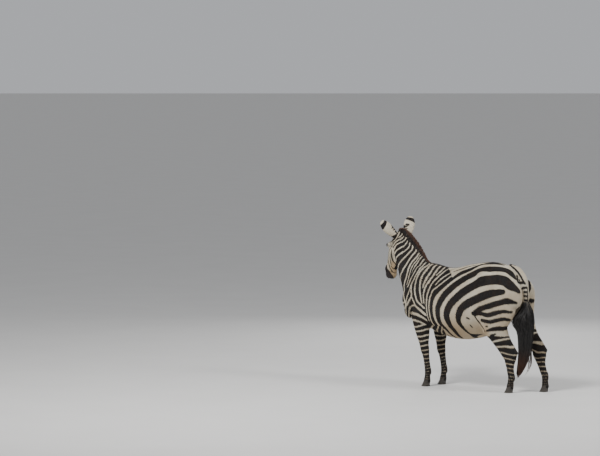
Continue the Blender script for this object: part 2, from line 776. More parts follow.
def settled(field, p, most):
    """Points moved onto the field's zero level, at most so far in each of three steps."""
    for _ in range(3):
        value = evaluate(field, p)
        slope = slope_of(field, p, value)
        steep = np.maximum((slope**2).sum(1), 0.05)
        move = np.clip(value / steep, -most, most)
        p = (p - slope * move[:, None]).astype(np.float32)
    return p


# ---------- making Blender meshes ----------
def mesh_object(name, points, faces, smooth=True, values=None, uv=None):
    """A mesh from points in millimetres and faces as rows of vertex numbers, all rows equally long."""
    points = np.asarray(points, float) / 1000 + TO_ROW
    faces = np.asarray(faces, np.int32)
    sides = faces.shape[1]
    mesh = bpy.data.meshes.new(name)
    mesh.vertices.add(len(points))
    mesh.vertices.foreach_set("co", points.astype(np.float32).ravel())
    mesh.loops.add(faces.size)
    mesh.loops.foreach_set("vertex_index", faces.ravel())
    mesh.polygons.add(len(faces))
    mesh.polygons.foreach_set("loop_start", np.arange(len(faces), dtype=np.int32) * sides)
    mesh.polygons.foreach_set("use_smooth", np.full(len(faces), smooth))
    for key, value in (values or {}).items():
        layer = mesh.attributes.new(key, "FLOAT", "POINT")
        layer.data.foreach_set("value", np.asarray(value, np.float32))
    if uv is not None:
        layer = mesh.uv_layers.new(name="OFBake")
        layer.data.foreach_set("uv", np.asarray(uv, np.float32).ravel())
    mesh.update()
    mesh.validate()
    made = bpy.data.objects.new(name, mesh)
    bpy.context.scene.collection.objects.link(made)
    return made


def loft(rings, closed=True):
    """Points and four-sided faces through rings of equally many points."""
    rings = np.asarray(rings, float)
    count, n = rings.shape[:2]
    last = n if closed else n - 1
    i, j = np.meshgrid(np.arange(count - 1), np.arange(last), indexing="ij")
    k = (j + 1) % n
    faces = np.stack([i * n + j, i * n + k, (i + 1) * n + k, (i + 1) * n + j], -1)
    return rings.reshape(-1, 3), faces.reshape(-1, 4)


# ---------- materials ----------
class Nodes:
    """A material's node tree with short calls."""

    def __init__(self, name):
        self.material = bpy.data.materials.new(name)
        self.material.use_nodes = True
        self.tree = self.material.node_tree
        self.shader = self.tree.nodes["Principled BSDF"]

    def add(self, kind, **inputs):
        node = self.tree.nodes.new(kind)
        for key, value in inputs.items():
            self.put(node.inputs[key.replace("_", " ")], value)
        return node

    def put(self, socket, value):
        if isinstance(value, bpy.types.NodeSocket):
            self.tree.links.new(value, socket)
        else:
            socket.default_value = value

    def attribute(self, name):
        node = self.tree.nodes.new("ShaderNodeAttribute")
        node.attribute_name = name
        return node.outputs["Fac"]

    def math(self, operation, a, b=0.0, c=None):
        node = self.tree.nodes.new("ShaderNodeMath")
        node.operation = operation
        self.put(node.inputs[0], a)
        self.put(node.inputs[1], b)
        if c is not None:
            self.put(node.inputs[2], c)
        return node.outputs[0]

    def mix(self, factor, a, b):
        node = self.tree.nodes.new("ShaderNodeMix")
        node.data_type = "RGBA"
        self.put(node.inputs[0], factor)
        self.put(node.inputs[6], a)
        self.put(node.inputs[7], b)
        return node.outputs[2]

    def ramp(self, value, low, high, to_low=0.0, to_high=1.0):
        node = self.tree.nodes.new("ShaderNodeMapRange")
        node.interpolation_type = "SMOOTHSTEP"
        self.put(node.inputs[0], value)
        for socket, number in zip(node.inputs[1:5], (low, high, to_low, to_high)):
            self.put(socket, number)
        return node.outputs[0]

    def coordinates(self, stretch=(1, 1, 1)):
        place = self.tree.nodes.new("ShaderNodeTexCoord")
        mapping = self.tree.nodes.new("ShaderNodeMapping")
        mapping.inputs["Scale"].default_value = stretch
        self.tree.links.new(place.outputs["Object"], mapping.inputs["Vector"])
        return mapping.outputs[0]

    def noise(self, scale, detail=3.0, vector=None, stretch=(1, 1, 1)):
        node = self.tree.nodes.new("ShaderNodeTexNoise")
        node.inputs["Scale"].default_value = scale
        node.inputs["Detail"].default_value = detail
        self.tree.links.new(vector or self.coordinates(stretch), node.inputs["Vector"])
        return node.outputs["Fac"]

    def bump(self, height, strength, distance):
        node = self.tree.nodes.new("ShaderNodeBump")
        node.inputs["Strength"].default_value = strength
        node.inputs["Distance"].default_value = distance
        self.tree.links.new(height, node.inputs["Height"])
        self.tree.links.new(node.outputs[0], self.shader.inputs["Normal"])


CREAM = (0.60, 0.55, 0.44, 1)
BUFF = (0.42, 0.30, 0.17, 1)
BLACK = (0.0075, 0.0065, 0.0065, 1)
BROWN = (0.018, 0.011, 0.008, 1)
BARE = (0.018, 0.014, 0.014, 1)


def coat_material(name):
    n = Nodes(name)
    fine = n.noise(95, 3.0, stretch=(1, 1, 0.35))
    broad = n.noise(4.5, 2.0)
    patch = n.noise(22, 2.0)
    light = n.mix(n.ramp(broad, 0.35, 0.7), CREAM, (0.50, 0.43, 0.32, 1))
    light = n.mix(n.math("MULTIPLY", n.attribute("tan"), 0.9), light, BUFF)
    dark = n.mix(n.ramp(patch, 0.4, 0.75), BLACK, BROWN)
    edge = n.math("ADD", n.attribute("stripe"), n.math("MULTIPLY_ADD", fine, 3.6, -1.8))
    colour = n.mix(n.ramp(edge, -1.6, 1.6), light, dark)
    colour = n.mix(n.attribute("bare"), colour, BARE)
    colour = n.mix(n.ramp(fine, 0.35, 0.8, 0.0, 0.12), colour, (0.12, 0.10, 0.08, 1))
    n.put(n.shader.inputs["Base Color"], colour)
    n.put(n.shader.inputs["Roughness"], n.ramp(patch, 0.2, 0.8, 0.50, 0.68))
    n.shader.inputs["Specular IOR Level"].default_value = 0.22
    n.bump(n.noise(420, 3.0, stretch=(0.3, 1, 0.6)), 0.5, 0.0012)
    return n.material


def horn_material(name):
    n = Nodes(name)
    rings = n.noise(30, 2.0, stretch=(0.6, 0.6, 5))
    fine = n.noise(160, 3.0, stretch=(3, 3, 0.4))
    colour = n.mix(n.ramp(rings, 0.3, 0.7), (0.018, 0.016, 0.014, 1), (0.062, 0.052, 0.042, 1))
    n.put(n.shader.inputs["Base Color"], n.mix(n.ramp(fine, 0.5, 0.8), colour, (0.10, 0.085, 0.068, 1)))
    n.put(n.shader.inputs["Roughness"], n.ramp(fine, 0.2, 0.8, 0.38, 0.62))
    n.bump(rings, 0.5, 0.002)
    return n.material


# ---------- camera, as the photograph was framed ----------
PHOTO_WIDE, PHOTO_HIGH = 600, 456
FOCAL = 2778  # in pixels
SENSOR = 36
AIM_PIXEL = (469.7, 309.4)  # where the middle of the trunk falls
AIM = np.array([0, 0, 850.0])
RAY = unit([0.4975, -0.8617, -0.096])
DISTANCE = 30000


def place_camera():
    """The camera, level, and in the body's frame its place and the directions ahead, right and up."""
    across = (AIM_PIXEL[0] - PHOTO_WIDE / 2) / FOCAL
    down = (AIM_PIXEL[1] - PHOTO_HIGH / 2) / FOCAL
    k = math.sqrt(1 + across**2 + down**2)
    pitch = math.asin(k * RAY[2] / math.sqrt(1 + down**2)) + math.atan(down)
    heading = math.atan2(RAY[1], RAY[0]) + math.atan2(across, math.cos(pitch) + down * math.sin(pitch))
    data = bpy.data.cameras.new("camera")
    data.sensor_width = SENSOR
    data.lens = SENSOR * FOCAL / PHOTO_WIDE
    data.clip_end = 200
    made = bpy.data.objects.new("camera", data)
    made.location = (AIM - DISTANCE * RAY) / 1000 + TO_ROW
    made.rotation_euler = (math.pi / 2 + pitch, 0, heading - math.pi / 2)
    bpy.context.scene.collection.objects.link(made)
    bpy.context.scene.camera = made
    flat = math.cos(pitch)
    forward = np.array([flat * math.cos(heading), flat * math.sin(heading), math.sin(pitch)])
    right = np.array([math.sin(heading), -math.cos(heading), 0])
    return AIM - DISTANCE * RAY, forward, right, np.cross(right, forward)


EYE_POINT, VIEW_AHEAD, VIEW_RIGHT, VIEW_UP = place_camera()


# ---------- studio ----------
FLOOR_HALF = 400000


def studio():
    """A pale world, three lamps and a floor."""
    world = bpy.data.worlds.new("studio")
    bpy.context.scene.world = world
    world.use_nodes = True
    world.node_tree.nodes["Background"].inputs["Color"].default_value = (0.84, 0.86, 0.90, 1)
    world.node_tree.nodes["Background"].inputs["Strength"].default_value = 0.55
    lamps = [
        ("key", (1.0, 5.5, 7.0), 2.4, 620),
        ("rim", (-6.5, -1.0, 6.0), 2.2, 330),
        ("fill", (3.0, -5.5, 3.5), 4.0, 110),
    ]
    for name, place, size, power in lamps:
        data = bpy.data.lights.new(name, "AREA")
        data.shape = "DISK"
        data.size = size
        data.energy = power
        lamp = bpy.data.objects.new(name, data)
        lamp.location = place
        lamp.rotation_euler = (Vector((0, 0, 0.8)) - Vector(place)).to_track_quat("-Z", "Y").to_euler()
        bpy.context.scene.collection.objects.link(lamp)
    edges = (-FLOOR_HALF, FLOOR_HALF)
    points, faces = loft([[(x, y, 0) for y in edges] for x in edges[::-1]], False)
    floor = mesh_object("floor", points - TO_ROW * 1000 * [0, 0, 1], faces)
    n = Nodes("floor")
    n.put(n.shader.inputs["Base Color"], n.mix(n.noise(1.5), (0.63, 0.62, 0.60, 1), (0.68, 0.67, 0.65, 1)))
    n.shader.inputs["Roughness"].default_value = 0.9
    n.bump(n.noise(40), 0.1, 0.002)
    floor.data.materials.append(n.material)


studio()

# ---------- the stripes ----------
# Each stripe is a stroke: a line of photograph pixels, laid on the near side of the body, with half
# widths in millimetres at even steps along it. The far side repeats them, a little changed.
MOST_MOVE = 40
RAY_START = 1400.0  # how far before the middle of the body the rays are followed from
RAY_STEPS = 90


def on_surface(p, rounds=8):
    """Points moved onto the skin."""
    p = np.asarray(p, np.float32)
    for _ in range(rounds):
        value = evaluate(skin_field, p)
        slope = slope_of(skin_field, p, value)
        steep = np.maximum((slope**2).sum(1), 0.1)
        move = np.clip(value / steep, -MOST_MOVE, MOST_MOVE)
        p = (p - slope * move[:, None]).astype(np.float32)
    return p


def seen_at(pixels):
    """Where rays through these pixels first meet the body, or pass closest to it."""
    pixels = np.asarray(pixels, float)
    across = (pixels[:, :1] - PHOTO_WIDE / 2) / FOCAL
    down = (pixels[:, 1:2] - PHOTO_HIGH / 2) / FOCAL
    ray = unit(VIEW_AHEAD + across * VIEW_RIGHT - down * VIEW_UP)
    run = np.full(len(ray), DISTANCE - RAY_START)
    best, best_run = np.full(len(ray), 1e9), run.copy()
    for _ in range(RAY_STEPS):
        value = evaluate(skin_field, (EYE_POINT + ray * run[:, None]).astype(np.float32))
        closer = value < best - 0.5
        best = np.where(closer, value, best)
        best_run = np.where(closer, run, best_run)
        run = np.where(best > 0.8, run + np.clip(value * 0.75, 2, 400), run)
    return on_surface(EYE_POINT + ray * best_run[:, None])


STROKE_MARGIN = 40


class Stroke:
    """A band along a line of points, with its half widths at even steps along it."""

    def __init__(self, points, widths):
        self.points = np.asarray(points, float)
        share = np.linspace(0, 1, len(self.points))
        self.widths = np.interp(share, np.linspace(0, 1, len(widths)), widths)
        margin = max(widths) + STROKE_MARGIN
        self.low = self.points.min(0) - margin
        self.high = self.points.max(0) + margin

    def depth(self, p):
        """Numbers of the points near the stroke, and how far inside its edge each is."""
        near = np.flatnonzero(((p > self.low) & (p < self.high)).all(1))
        if not len(near):
            return near, np.zeros(0)
        q = p[near]
        best = np.full(len(q), -1e3)
        for a, b, wa, wb in zip(self.points, self.points[1:], self.widths, self.widths[1:]):
            step = b - a
            t = np.clip((q - a) @ step / max(step @ step, 1e-6), 0, 1)
            gap = np.linalg.norm(q - a - t[:, None] * step, axis=1)
            best = np.maximum(best, wa + (wb - wa) * t - gap)
        return near, best


OUTSIDE = -99


def inked(depth, lines, p, allowed=None):
    """The depth raised to how far inside the nearest of these strokes each allowed point is."""
    for line in lines:
        near, inside = line.depth(p)
        if allowed is not None:
            inside = np.where(allowed[near], inside, OUTSIDE)
        depth[near] = np.maximum(depth[near], inside)
    return depth


FINER = 6  # points laid on the skin for each one given


def laid(lines):
    """Each line of points made finer along a curve and set on the skin."""
    fine = [along(line, np.linspace(0, len(line) - 1, (len(line) - 1) * FINER + 1)) for line in lines]
    placed = on_surface(np.vstack(fine), 5)
    return np.split(placed, np.cumsum([len(line) for line in fine])[:-1])


def strokes(table):
    """Every row of pixels, widths and, if given, the drop of a line that goes on round the front."""
    pixels = [row[0] for row in table.values()]
    placed = np.split(seen_at(sum(pixels, [])), np.cumsum([len(p) for p in pixels])[:-1])
    lines = []
    for row, points in zip(table.values(), placed):
        if len(row) > 2:
            steps = np.array([0.3, 0.65, 1.0])
            last = points[-1]
            more = np.column_stack([last[0] + 40 * steps, last[1] * (1 - steps), last[2] - row[2] * steps])
            points = np.vstack([points, on_surface(more)])
        lines.append(points)
    return {name: Stroke(line, row[1]) for (name, row), line in zip(table.items(), laid(lines))}


# Dark stripes of rump, back, flank and thigh, on a pale coat.
DARK_PIXELS = {
    "rump_low": ([(502.5, 291.8), (490, 293.4), (480, 297), (466.2, 303.8), (460.5, 309), (458.3, 315),
                  (458.4, 321), (463.5, 328.2), (470, 333.8)], (28, 43, 46, 46, 40, 37, 27, 18, 10)),
    "rump_broad": ([(519, 291.4), (510, 285.2), (504.5, 281.2), (495, 279.4), (480, 281.8), (470.6, 287),
                    (460.4, 293.6), (450.5, 303.4), (447, 310), (446.3, 316), (449.5, 324.2), (455, 331.2),
                    (462, 338)], (20, 50, 56, 57, 52, 48, 46, 45, 43, 40, 31, 25, 18)),
    "rump_high": ([(515.3, 278.8), (511, 273.6), (505, 269.9), (490, 269), (480, 270.7), (470.5, 275.2),
                   (460.8, 280.6), (451, 288), (444, 295), (438.2, 305.2), (437.2, 311), (437.9, 317),
                   (441, 324), (446.8, 329.8), (458.8, 339.2)],
                  (12, 34, 34, 40, 42, 40, 40, 44, 42, 37, 35, 32, 26, 18, 12)),
    "back": ([(503.5, 265.3), (497, 263.8), (490, 263.4), (484, 264), (478, 265.8), (470, 269.5),
              (460.2, 273.5), (452.5, 278.7), (443.8, 285.2), (438.4, 289.8), (433.8, 295.2),
              (431.5, 300.5), (430.8, 308),
              (431.6, 315), (434, 321), (438.5, 327), (444, 332), (452, 337.2)],
             (8, 24, 28, 18, 17, 27, 29, 22, 27, 30, 30, 28, 25, 23, 20, 18, 16, 12)),
    "back_second": ([(453, 272), (458, 270.2), (464, 268.2), (470, 266.4), (477, 264.7)], (5, 8, 9, 7, 4)),
    "withers_end": ([(448.6, 270.8), (452, 269.7), (456, 268.5)], (7, 6, 3)),
    "thigh_top": ([(516, 302.4), (508, 300.8), (500, 302.3), (490, 305.3), (480, 308.6), (472.5, 313.2)],
                  (16, 34, 32, 31, 30, 20)),
    "thigh_second": ([(512, 311.6), (503, 311.3), (495, 312.8), (487, 314.8), (480, 313.2), (474, 314.4)],
                     (10, 20, 26, 26, 22, 16)),
    "thigh_third": ([(510, 319.6), (503, 318.8), (496, 320.2), (490, 321.5), (481.8, 320)],
                    (14, 22, 23, 23, 19)),
    "spot": ([(485.6, 326.2), (487.4, 326.2)], (8, 9, 8)),
    "thigh_fourth": ([(508, 327.2), (500, 328.2), (493, 329), (486, 330.6)], (22, 27, 23, 8)),
    "wedge": ([(495.5, 333.8), (490, 335)], (9, 12, 8)),
    "fold": ([(474.5, 316), (476.5, 319), (479.5, 322.5), (482, 326), (485, 331.3)], (7, 7, 6)),
    "belly_spot": ([(466.5, 317.6), (469, 318.4)], (9, 9, 8)),
    "belly_spot_low": ([(470, 324.6), (472, 326.8)], (7, 8, 7)),
}
# Pale lines of neck and shoulder, on a dark coat; some go on round the front of the throat and chest.
PALE_PIXELS = {
    "ear_line": ([(399.5, 231.8), (398, 235), (396.5, 237.8), (394.3, 240.8)], (7, 8, 5)),
    "nape_fleck": ([(402, 233), (401, 235), (398.5, 237.5)], (3, 4, 4)),
    "nape_first": ([(403.5, 236.2), (400.5, 238.6), (398, 240.1), (396.1, 241.6), (394.5, 243.5),
                    (393.6, 245.3)], (4, 7, 5)),
    "nape_second": ([(406, 237.5), (404, 240), (400, 242.6), (396.8, 244.4), (395.3, 246.2), (394.3, 248.6)],
                    (5, 8, 6), 20),
    "nape_third": ([(407.5, 240.5), (405, 244.5), (401, 247.4), (396.5, 250.5), (394.5, 254.6)],
                   (5, 8, 7), 20),
    "neck_first": ([(409.8, 242.5), (409, 246), (406.5, 249), (401.8, 252.5), (397.6, 255.9), (396.1, 259.5)],
                   (5, 8, 8), 25),
    "neck_second": ([(412.5, 243.5), (412.2, 248.4), (409.5, 251.8), (404, 257.4), (399.9, 262),
                     (398, 267.4)], (6, 9, 9), 30),
    "neck_third": ([(416.2, 246.5), (416, 250), (414.5, 252.6), (410.6, 257), (406, 264.3), (402.3, 270.4),
                    (400.4, 276), (399.9, 281)], (6, 9, 10), 40),
    "neck_fourth": ([(419, 252.4), (416.4, 256.6), (411.6, 262), (408.4, 268.4), (406.3, 276.8), (404, 285.5),
                     (404, 292.5), (404.8, 301)], (5, 8, 9, 8, 4), 30),
    "hatch_first": ([(420, 254.5), (417, 259.5), (412.6, 265), (410.2, 271), (408.2, 278.6), (406.7, 284)],
                    (3, 5, 5, 3)),
    "hatch_second": ([(422, 256), (417.3, 262.4), (414.6, 266.5), (411.9, 272.4)], (3, 5, 3)),
    "neck_fifth": ([(425.5, 257.5), (420.1, 264), (415.4, 270), (411.6, 276.8), (408.8, 283), (407.5, 286.5)],
                   (4, 6, 5)),
    "crotch_front": ([(410.6, 285), (408.5, 291.8), (406.3, 299.3), (405.2, 305)], (4, 7, 6), 50),
    "crotch": ([(427.9, 261.5), (422.6, 265.5), (418, 271), (414.4, 277.4), (411.6, 283), (410.8, 290),
                (411, 295.5), (407.9, 301.8), (405.7, 309.3), (406, 313.5)], (6, 7, 7, 8, 8), 50),
    "fork": ([(411, 295.5), (413, 300.5), (415.4, 305.5), (420, 309.8), (425.5, 314.5)], (6, 7, 9, 14, 12)),
    "shoulder_first": ([(431.5, 262.4), (427.5, 265), (423.5, 267.5), (419.3, 272.2), (416.3, 278.6),
                        (414.7, 286), (414.7, 293.4), (416.6, 300), (421, 305), (424, 307.8)],
                       (7, 8, 8, 9, 9, 9)),
    "shoulder_second": ([(435.2, 262.8), (431, 264.6), (427, 268.8), (423.5, 273), (420.8, 278),
                         (419.5, 285.5), (419.6, 292), (420.6, 298), (421.7, 302.6)], (7, 9, 8, 9, 7)),
    "shoulder_third": ([(439.2, 263.4), (435.6, 265.1), (431.5, 270.1), (427.5, 276), (424.2, 281.6),
                        (422.4, 287.4)], (7, 9, 9, 6)),
    "shoulder_fourth": ([(442, 265.3), (437, 269.3), (432.9, 275.5), (428.8, 281), (425.2, 286.5),
                         (423.3, 293), (423.2, 298), (423.7, 303)], (7, 9, 9, 8, 6)),
    "withers_short": ([(446.3, 266.2), (442.5, 269.2), (439, 272.6), (436.4, 275)], (5, 8, 7)),
    "shoulder_fifth": ([(447.5, 269.2), (442.5, 272.6), (438.4, 276.5), (434.3, 280.1), (431.3, 284.2),
                        (428.5, 290), (426.6, 297), (426.2, 305), (427, 313), (429, 320.3)],
                       (6, 9, 10, 9, 8, 8, 8, 6)),
    "withers_line": ([(455, 270), (449.3, 273.5), (444, 276.6), (438.4, 281), (435.2, 284.8)], (6, 8, 8, 5)),
    "shoulder_sixth": ([(480, 264.3), (471, 266.9), (462.9, 269.6), (457.5, 271.9), (452.5, 275.1),
                        (445, 280.5), (437.5, 286.5), (432.9, 289.8), (430.6, 295), (429.2, 300),
                        (428.8, 307.5), (429.6, 315), (431.8, 321.8), (435.5, 326.8), (440, 331.8),
                        (447, 336)],
                       (9, 9, 8, 8, 8, 9, 8, 8, 8, 8)),
    "chest": ([(414.8, 304.8), (411.6, 305.4), (409.6, 307.4), (408.6, 311), (408.7, 315)], (8, 8, 8), 40),
    "arm_first": ([(426.5, 320), (422.9, 317.4), (419.8, 315.6), (416, 313.8), (411.2, 312.4)],
                  (9, 13, 13, 9), 30),
    "arm_second": ([(427.5, 325.3), (421, 321.9), (417.3, 320.6), (414, 319.6), (410.8, 318)],
                   (6, 9, 9, 6), 30),
}
# Where the dark ground of the shoulder ends: from the back, then down along the last part of a stripe.
EDGE_PIXELS = [(447.8, 267.2), (449.8, 271), (451.6, 275), (452, 278.7), *DARK_PIXELS["back"][0][-10:]]
# Marks at the root of the tail and on the dock, and what shows of the right haunch behind it.
TAIL_PIXELS = {
    "croup": ([(503, 262.9), (507.4, 263.8), (512, 267), (516.9, 271), (520.5, 275.5), (524, 281.5)],
              (8, 9, 10, 11, 10, 7)),
    "root_left": ([(516.9, 275.2), (517.4, 280.6), (519, 285.2), (520.3, 289), (520.6, 295), (520.3, 300)],
                  (11, 15, 15)),
    "root_spot": ([(519.2, 279), (519.5, 280.4)], (6, 7, 6)),
    "root_middle": ([(519.5, 274.8), (521.5, 277.6), (523.5, 281)], (5, 10, 9)),
    "bar_first": ([(518.5, 282), (521.5, 282.3), (525, 282.8)], (15, 17, 12)),
    "bar_second": ([(520, 287.2), (526, 287.2)], (15, 16, 14)),
    "bar_third": ([(520.5, 291.5), (526.8, 291.5)], (14, 15, 14)),
    "bar_fourth": ([(520.5, 295.6), (527, 295.6)], (13, 14, 13)),
    "bar_fifth": ([(520.5, 300), (527.5, 300)], (14, 15, 14)),
    "root_rear": ([(527.2, 287), (527.6, 294), (527.8, 301)], (5, 7, 8)),
}
RIGHT_PIXELS = {
    "patch": ([(528.4, 279.6), (529.2, 284), (529.4, 288), (528.6, 291)], (10, 17, 18, 12)),
    "blob_first": ([(529.8, 300), (533.8, 300.3)], (20, 24, 20)),
    "blob_second": ([(530.5, 313), (534.2, 313.3)], (13, 16, 13)),
    "blob_third": ([(531, 321.6), (534.8, 322)], (14, 18, 14)),
    "blob_fourth": ([(531.5, 330.2), (535.5, 330.7)], (13, 17, 13)),
}


NECK_END = len(NECK) - 1
LEFT = np.array([0, 1, 0])


def neck_side(share):
    """The direction to the neck's left, at shares of its length."""
    return unit(LEFT + (HEAD_LEFT - LEFT) * share[:, None])


def neck_ahead(at):
    """The direction along the neck, toward the head, at places along it."""
    after = along(NECK, np.minimum(at + 0.1, NECK_END))
    before = along(NECK, np.maximum(at - 0.1, 0))
    return unit(after[:, :3] - before[:, :3])


BETWEEN_LEGS = 100  # x that parts the fore legs from the hind ones
# Joints and sections, and the heights where a leg's stripes fade in, for hind and fore legs.
LEG_PAIRS = ((HIND_JOINTS, HIND_SECTIONS, 1000, 850), (FORE_JOINTS, FORE_SECTIONS, 800, 690))


class Fold:
    """Every point's match on the left side: across the middle of trunk, neck and head, and for the
    right legs along the leg, since the legs stand differently."""

    def __init__(self):
        self.line = along(NECK, np.linspace(0, NECK_END, 4 * NECK_END + 1))
        self.pairs = []
        for joints, sections, high, low in LEG_PAIRS:
            both = [
                Chain(leg_rows(side_joints(joints, side), sections, side), steps=3)
                for side in ("left", "right")
            ]
            self.pairs.append((*both, high, low, joints is FORE_JOINTS))

    def middle(self, p):
        """How far along the neck each point is (0 to NECK_END), by its place seen from the side."""
        best = np.full(len(p), np.inf)
        at = np.zeros(len(p))
        xz = p[:, [0, 2]]
        for i, (a, b) in enumerate(zip(self.line, self.line[1:])):
            a2, b2 = a[[0, 2]], b[[0, 2]]
            step = b2 - a2
            t = np.clip((xz - a2) @ step / (step @ step), 0, 1)
            gap = ((xz - a2 - t[:, None] * step) ** 2).sum(1)
            nearer = gap < best
            best = np.where(nearer, gap, best)
            at = np.where(nearer, (i + t) / 4, at)
        return np.where(is_head(p), NECK_END, at)

    def __call__(self, p):
        p = np.asarray(p, float)
        at = self.middle(p)
        side = neck_side(at / NECK_END)
        centre = along(NECK, at)[:, :3]
        out = ((p - centre) * side).sum(1)
        matched = p - 2 * np.minimum(out, 0)[:, None] * side
        for left, right, high, low, is_fore in self.pairs:
            here = (p[:, 0] > BETWEEN_LEGS) == is_fore
            i = np.flatnonzero((p[:, 1] < 0) & (p[:, 2] < high) & here)
            if not len(i):
                continue
            moved = self.along_leg(p[i], right, left)
            share = ramp(p[i, 2], high, low)[:, None] * ramp(-p[i, 1], 10, 60)[:, None]
            matched[i] = matched[i] * (1 - share) + moved * share
        return matched, out

    @staticmethod
    def along_leg(p, start, target):
        """Points at the same place of the other leg."""
        best = np.full(len(p), np.inf)
        made = np.zeros_like(p)
        for (a, _, length, ahead, side, up, _), other in zip(start.sections, target.sections):
            rel = p - a[:3]
            t = np.clip(rel @ ahead / length, 0, 1)
            across, deep = rel @ side, rel @ up
            past = rel @ ahead - t * length
            gap = np.linalg.norm(rel - (t * length)[:, None] * ahead, axis=1)
            a2, b2, _, ahead2, side2, up2, *_ = other
            there = a2[:3] + (b2[:3] - a2[:3]) * t[:, None] + past[:, None] * ahead2
            there = there - across[:, None] * side2 + deep[:, None] * up2
            nearer = gap < best
            best = np.where(nearer, gap, best)
            made = np.where(nearer[:, None], there, made)
        return made


NAPE = (from_head([-14, 0, -52]), HEAD_DOWN * 0.86 + HEAD_OUT * 0.51)
THROAT = (from_head([150, 0, -256]), HEAD_OUT)


def is_head(p):
    return ((p - NAPE[0]) @ NAPE[1] > 0) & ((p - THROAT[0]) @ THROAT[1] > 0)


def bands(value, centres, duty):
    """Rings at these centres (falling numbers), as depth inside the dark in the same unit."""
    centres = np.asarray(centres, float)
    phase = np.interp(-value, -centres, np.arange(len(centres)))
    pitch = np.interp(-value, -centres[:-1], -np.diff(centres))
    return (duty / 2 - np.abs(phase - np.round(phase))) * pitch


HIND_RINGS = [681, 594, 530, 457, 391, 341, 289, 242, 202, 166, 134, 105, 79, 55]
FORE_RINGS = [700, 640, 582, 526, 472, 421, 373, 328, 286, 247, 211, 178, 148, 121, 96, 72]
fold = Fold()
dark_strokes = strokes(DARK_PIXELS)
pale_strokes = strokes(PALE_PIXELS)
tail_strokes = strokes(TAIL_PIXELS)
right_strokes = strokes(RIGHT_PIXELS)
SHOULDER_EDGE = seen_at(EDGE_PIXELS)
# The line behind the cheek where the face's stripes meet the neck's, as places along and round the head.
CHEEK_PIXELS = [(396, 233.5), (394.3, 238), (393.3, 243), (393.5, 247), (394.2, 250.5), (394.6, 254),
                (395, 257.5), (396, 260.5), (397.2, 264), (397.6, 268)]


HEAD_MIDDLE = 85  # how far behind the face line the degrees round the head are counted


def round_head(p):
    """Place along the head and degrees round it from the forehead, the same on both sides."""
    s, l, n = to_head(p).T
    return s, np.degrees(np.arctan2(np.abs(l), n + HEAD_MIDDLE))


CHEEK_LINE = np.array(round_head(seen_at(CHEEK_PIXELS))).T
CHEEK_LINE = CHEEK_LINE[np.argsort(CHEEK_LINE[:, 0])]
CHEEK_LINE = np.vstack([CHEEK_LINE, [CHEEK_LINE[-1, 0] + 25, 185]])
# Where the muzzle's dark skin begins, from the bridge of the nose round to the chin.
MUZZLE_PIXELS = [(385.2, 262.4), (386.5, 265), (387.4, 268), (389.2, 270.6), (390.8, 273), (392.6, 275.6),
                 (394.5, 277.6)]
MUZZLE_LINE = np.array(round_head(seen_at(MUZZLE_PIXELS))).T
MUZZLE_LINE = MUZZLE_LINE[np.argsort(MUZZLE_LINE[:, 1])]


def front_line(at):
    """A line from the middle of the neck's front, up and round to its side."""
    share = np.linspace(0, 1, 6)
    place = at + 0.75 * share
    row = along(NECK, place)
    step = neck_ahead(place)
    side = neck_side(place / NECK_END)
    angle = np.radians(75 * share)
    round_it = side * (np.sin(angle) * row[:, 3])[:, None]
    return row[:, :3] + round_it - np.cross(step, side) * (np.cos(angle) * row[:, 4])[:, None]


# Pale lines on the front and right of neck and chest, by their places along the neck.
FRONT_PLACES = (0.15, 0.7, 1.25, 1.85, 2.5, 3.1)
front_lines = laid([on_surface(front_line(at)) for at in FRONT_PLACES])
front_strokes = [Stroke(line, (8, 10, 9, 3)) for line in front_lines]


GROUND = 30.0  # depth of the plain dark of neck and shoulder; the pale of the rest lies as far outside


def stripes(p):
    """Depth inside the dark of the coat's stripes, in millimetres, at points on or near the body."""
    matched, out = fold(p)
    x, _, z = matched.T
    right = ramp(-out, 20, 110)
    matched = matched + (right * 13)[:, None] * np.column_stack([wobble(p, 240, k) for k in (3, 4, 5)])
    matched = matched + np.column_stack([wobble(p, 75, k) for k in (6, 7, 8)]) * 0.9
    order = np.argsort(SHOULDER_EDGE[:, 2])
    edge_x = np.interp(z, SHOULDER_EDGE[order, 2], SHOULDER_EDGE[order, 0])
    depth = np.where(x > edge_x, GROUND, -GROUND)
    pale = inked(-depth, pale_strokes.values(), matched)
    pale = inked(pale, front_strokes, matched, out < 40)
    depth = inked(-pale, dark_strokes.values(), matched)
    depth = leg_stripes(matched, depth)
    depth = spine_and_belly(matched, depth, out)
    depth = inked(depth, right_strokes.values(), p, p[:, 1] < -30)
    along_head, turn = round_head(p)
    face = is_head(p) & (turn < np.interp(along_head, *CHEEK_LINE.T))
    return np.where(face, face_stripes(p), depth)


def leg_stripes(p, depth):
    """Rings round the legs, set over what is there."""
    x, _, z = p.T
    wave = wobble(p, 120, 11) * 5
    fore = ramp(z, 700, 660) * (x > 200)
    slope = np.interp(z, (380, 560, 700), (0.02, 0.16, 0.34))
    rings = bands(z + wave + slope * (x - 480) - 0.0012 * (x - 480) ** 2, FORE_RINGS,
                  np.interp(z, (120, 400, 640), (0.86, 0.80, 0.72)))
    depth = np.where(fore > 0.5, rings, depth)
    hind = (x < -100) & (z < 610)
    centre = np.interp(z, (66, 172, 400, 730), (-576, -590, -574, -378))
    slope = np.interp(z, (200, 330, 420, 560, 640), (0.0, -0.10, -0.12, 0.26, 0.14))
    rings = bands(z + wave + slope * (x - centre), HIND_RINGS,
                  np.interp(z, (120, 420, 640), (0.86, 0.80, 0.70)))
    return np.where(hind, rings, depth)


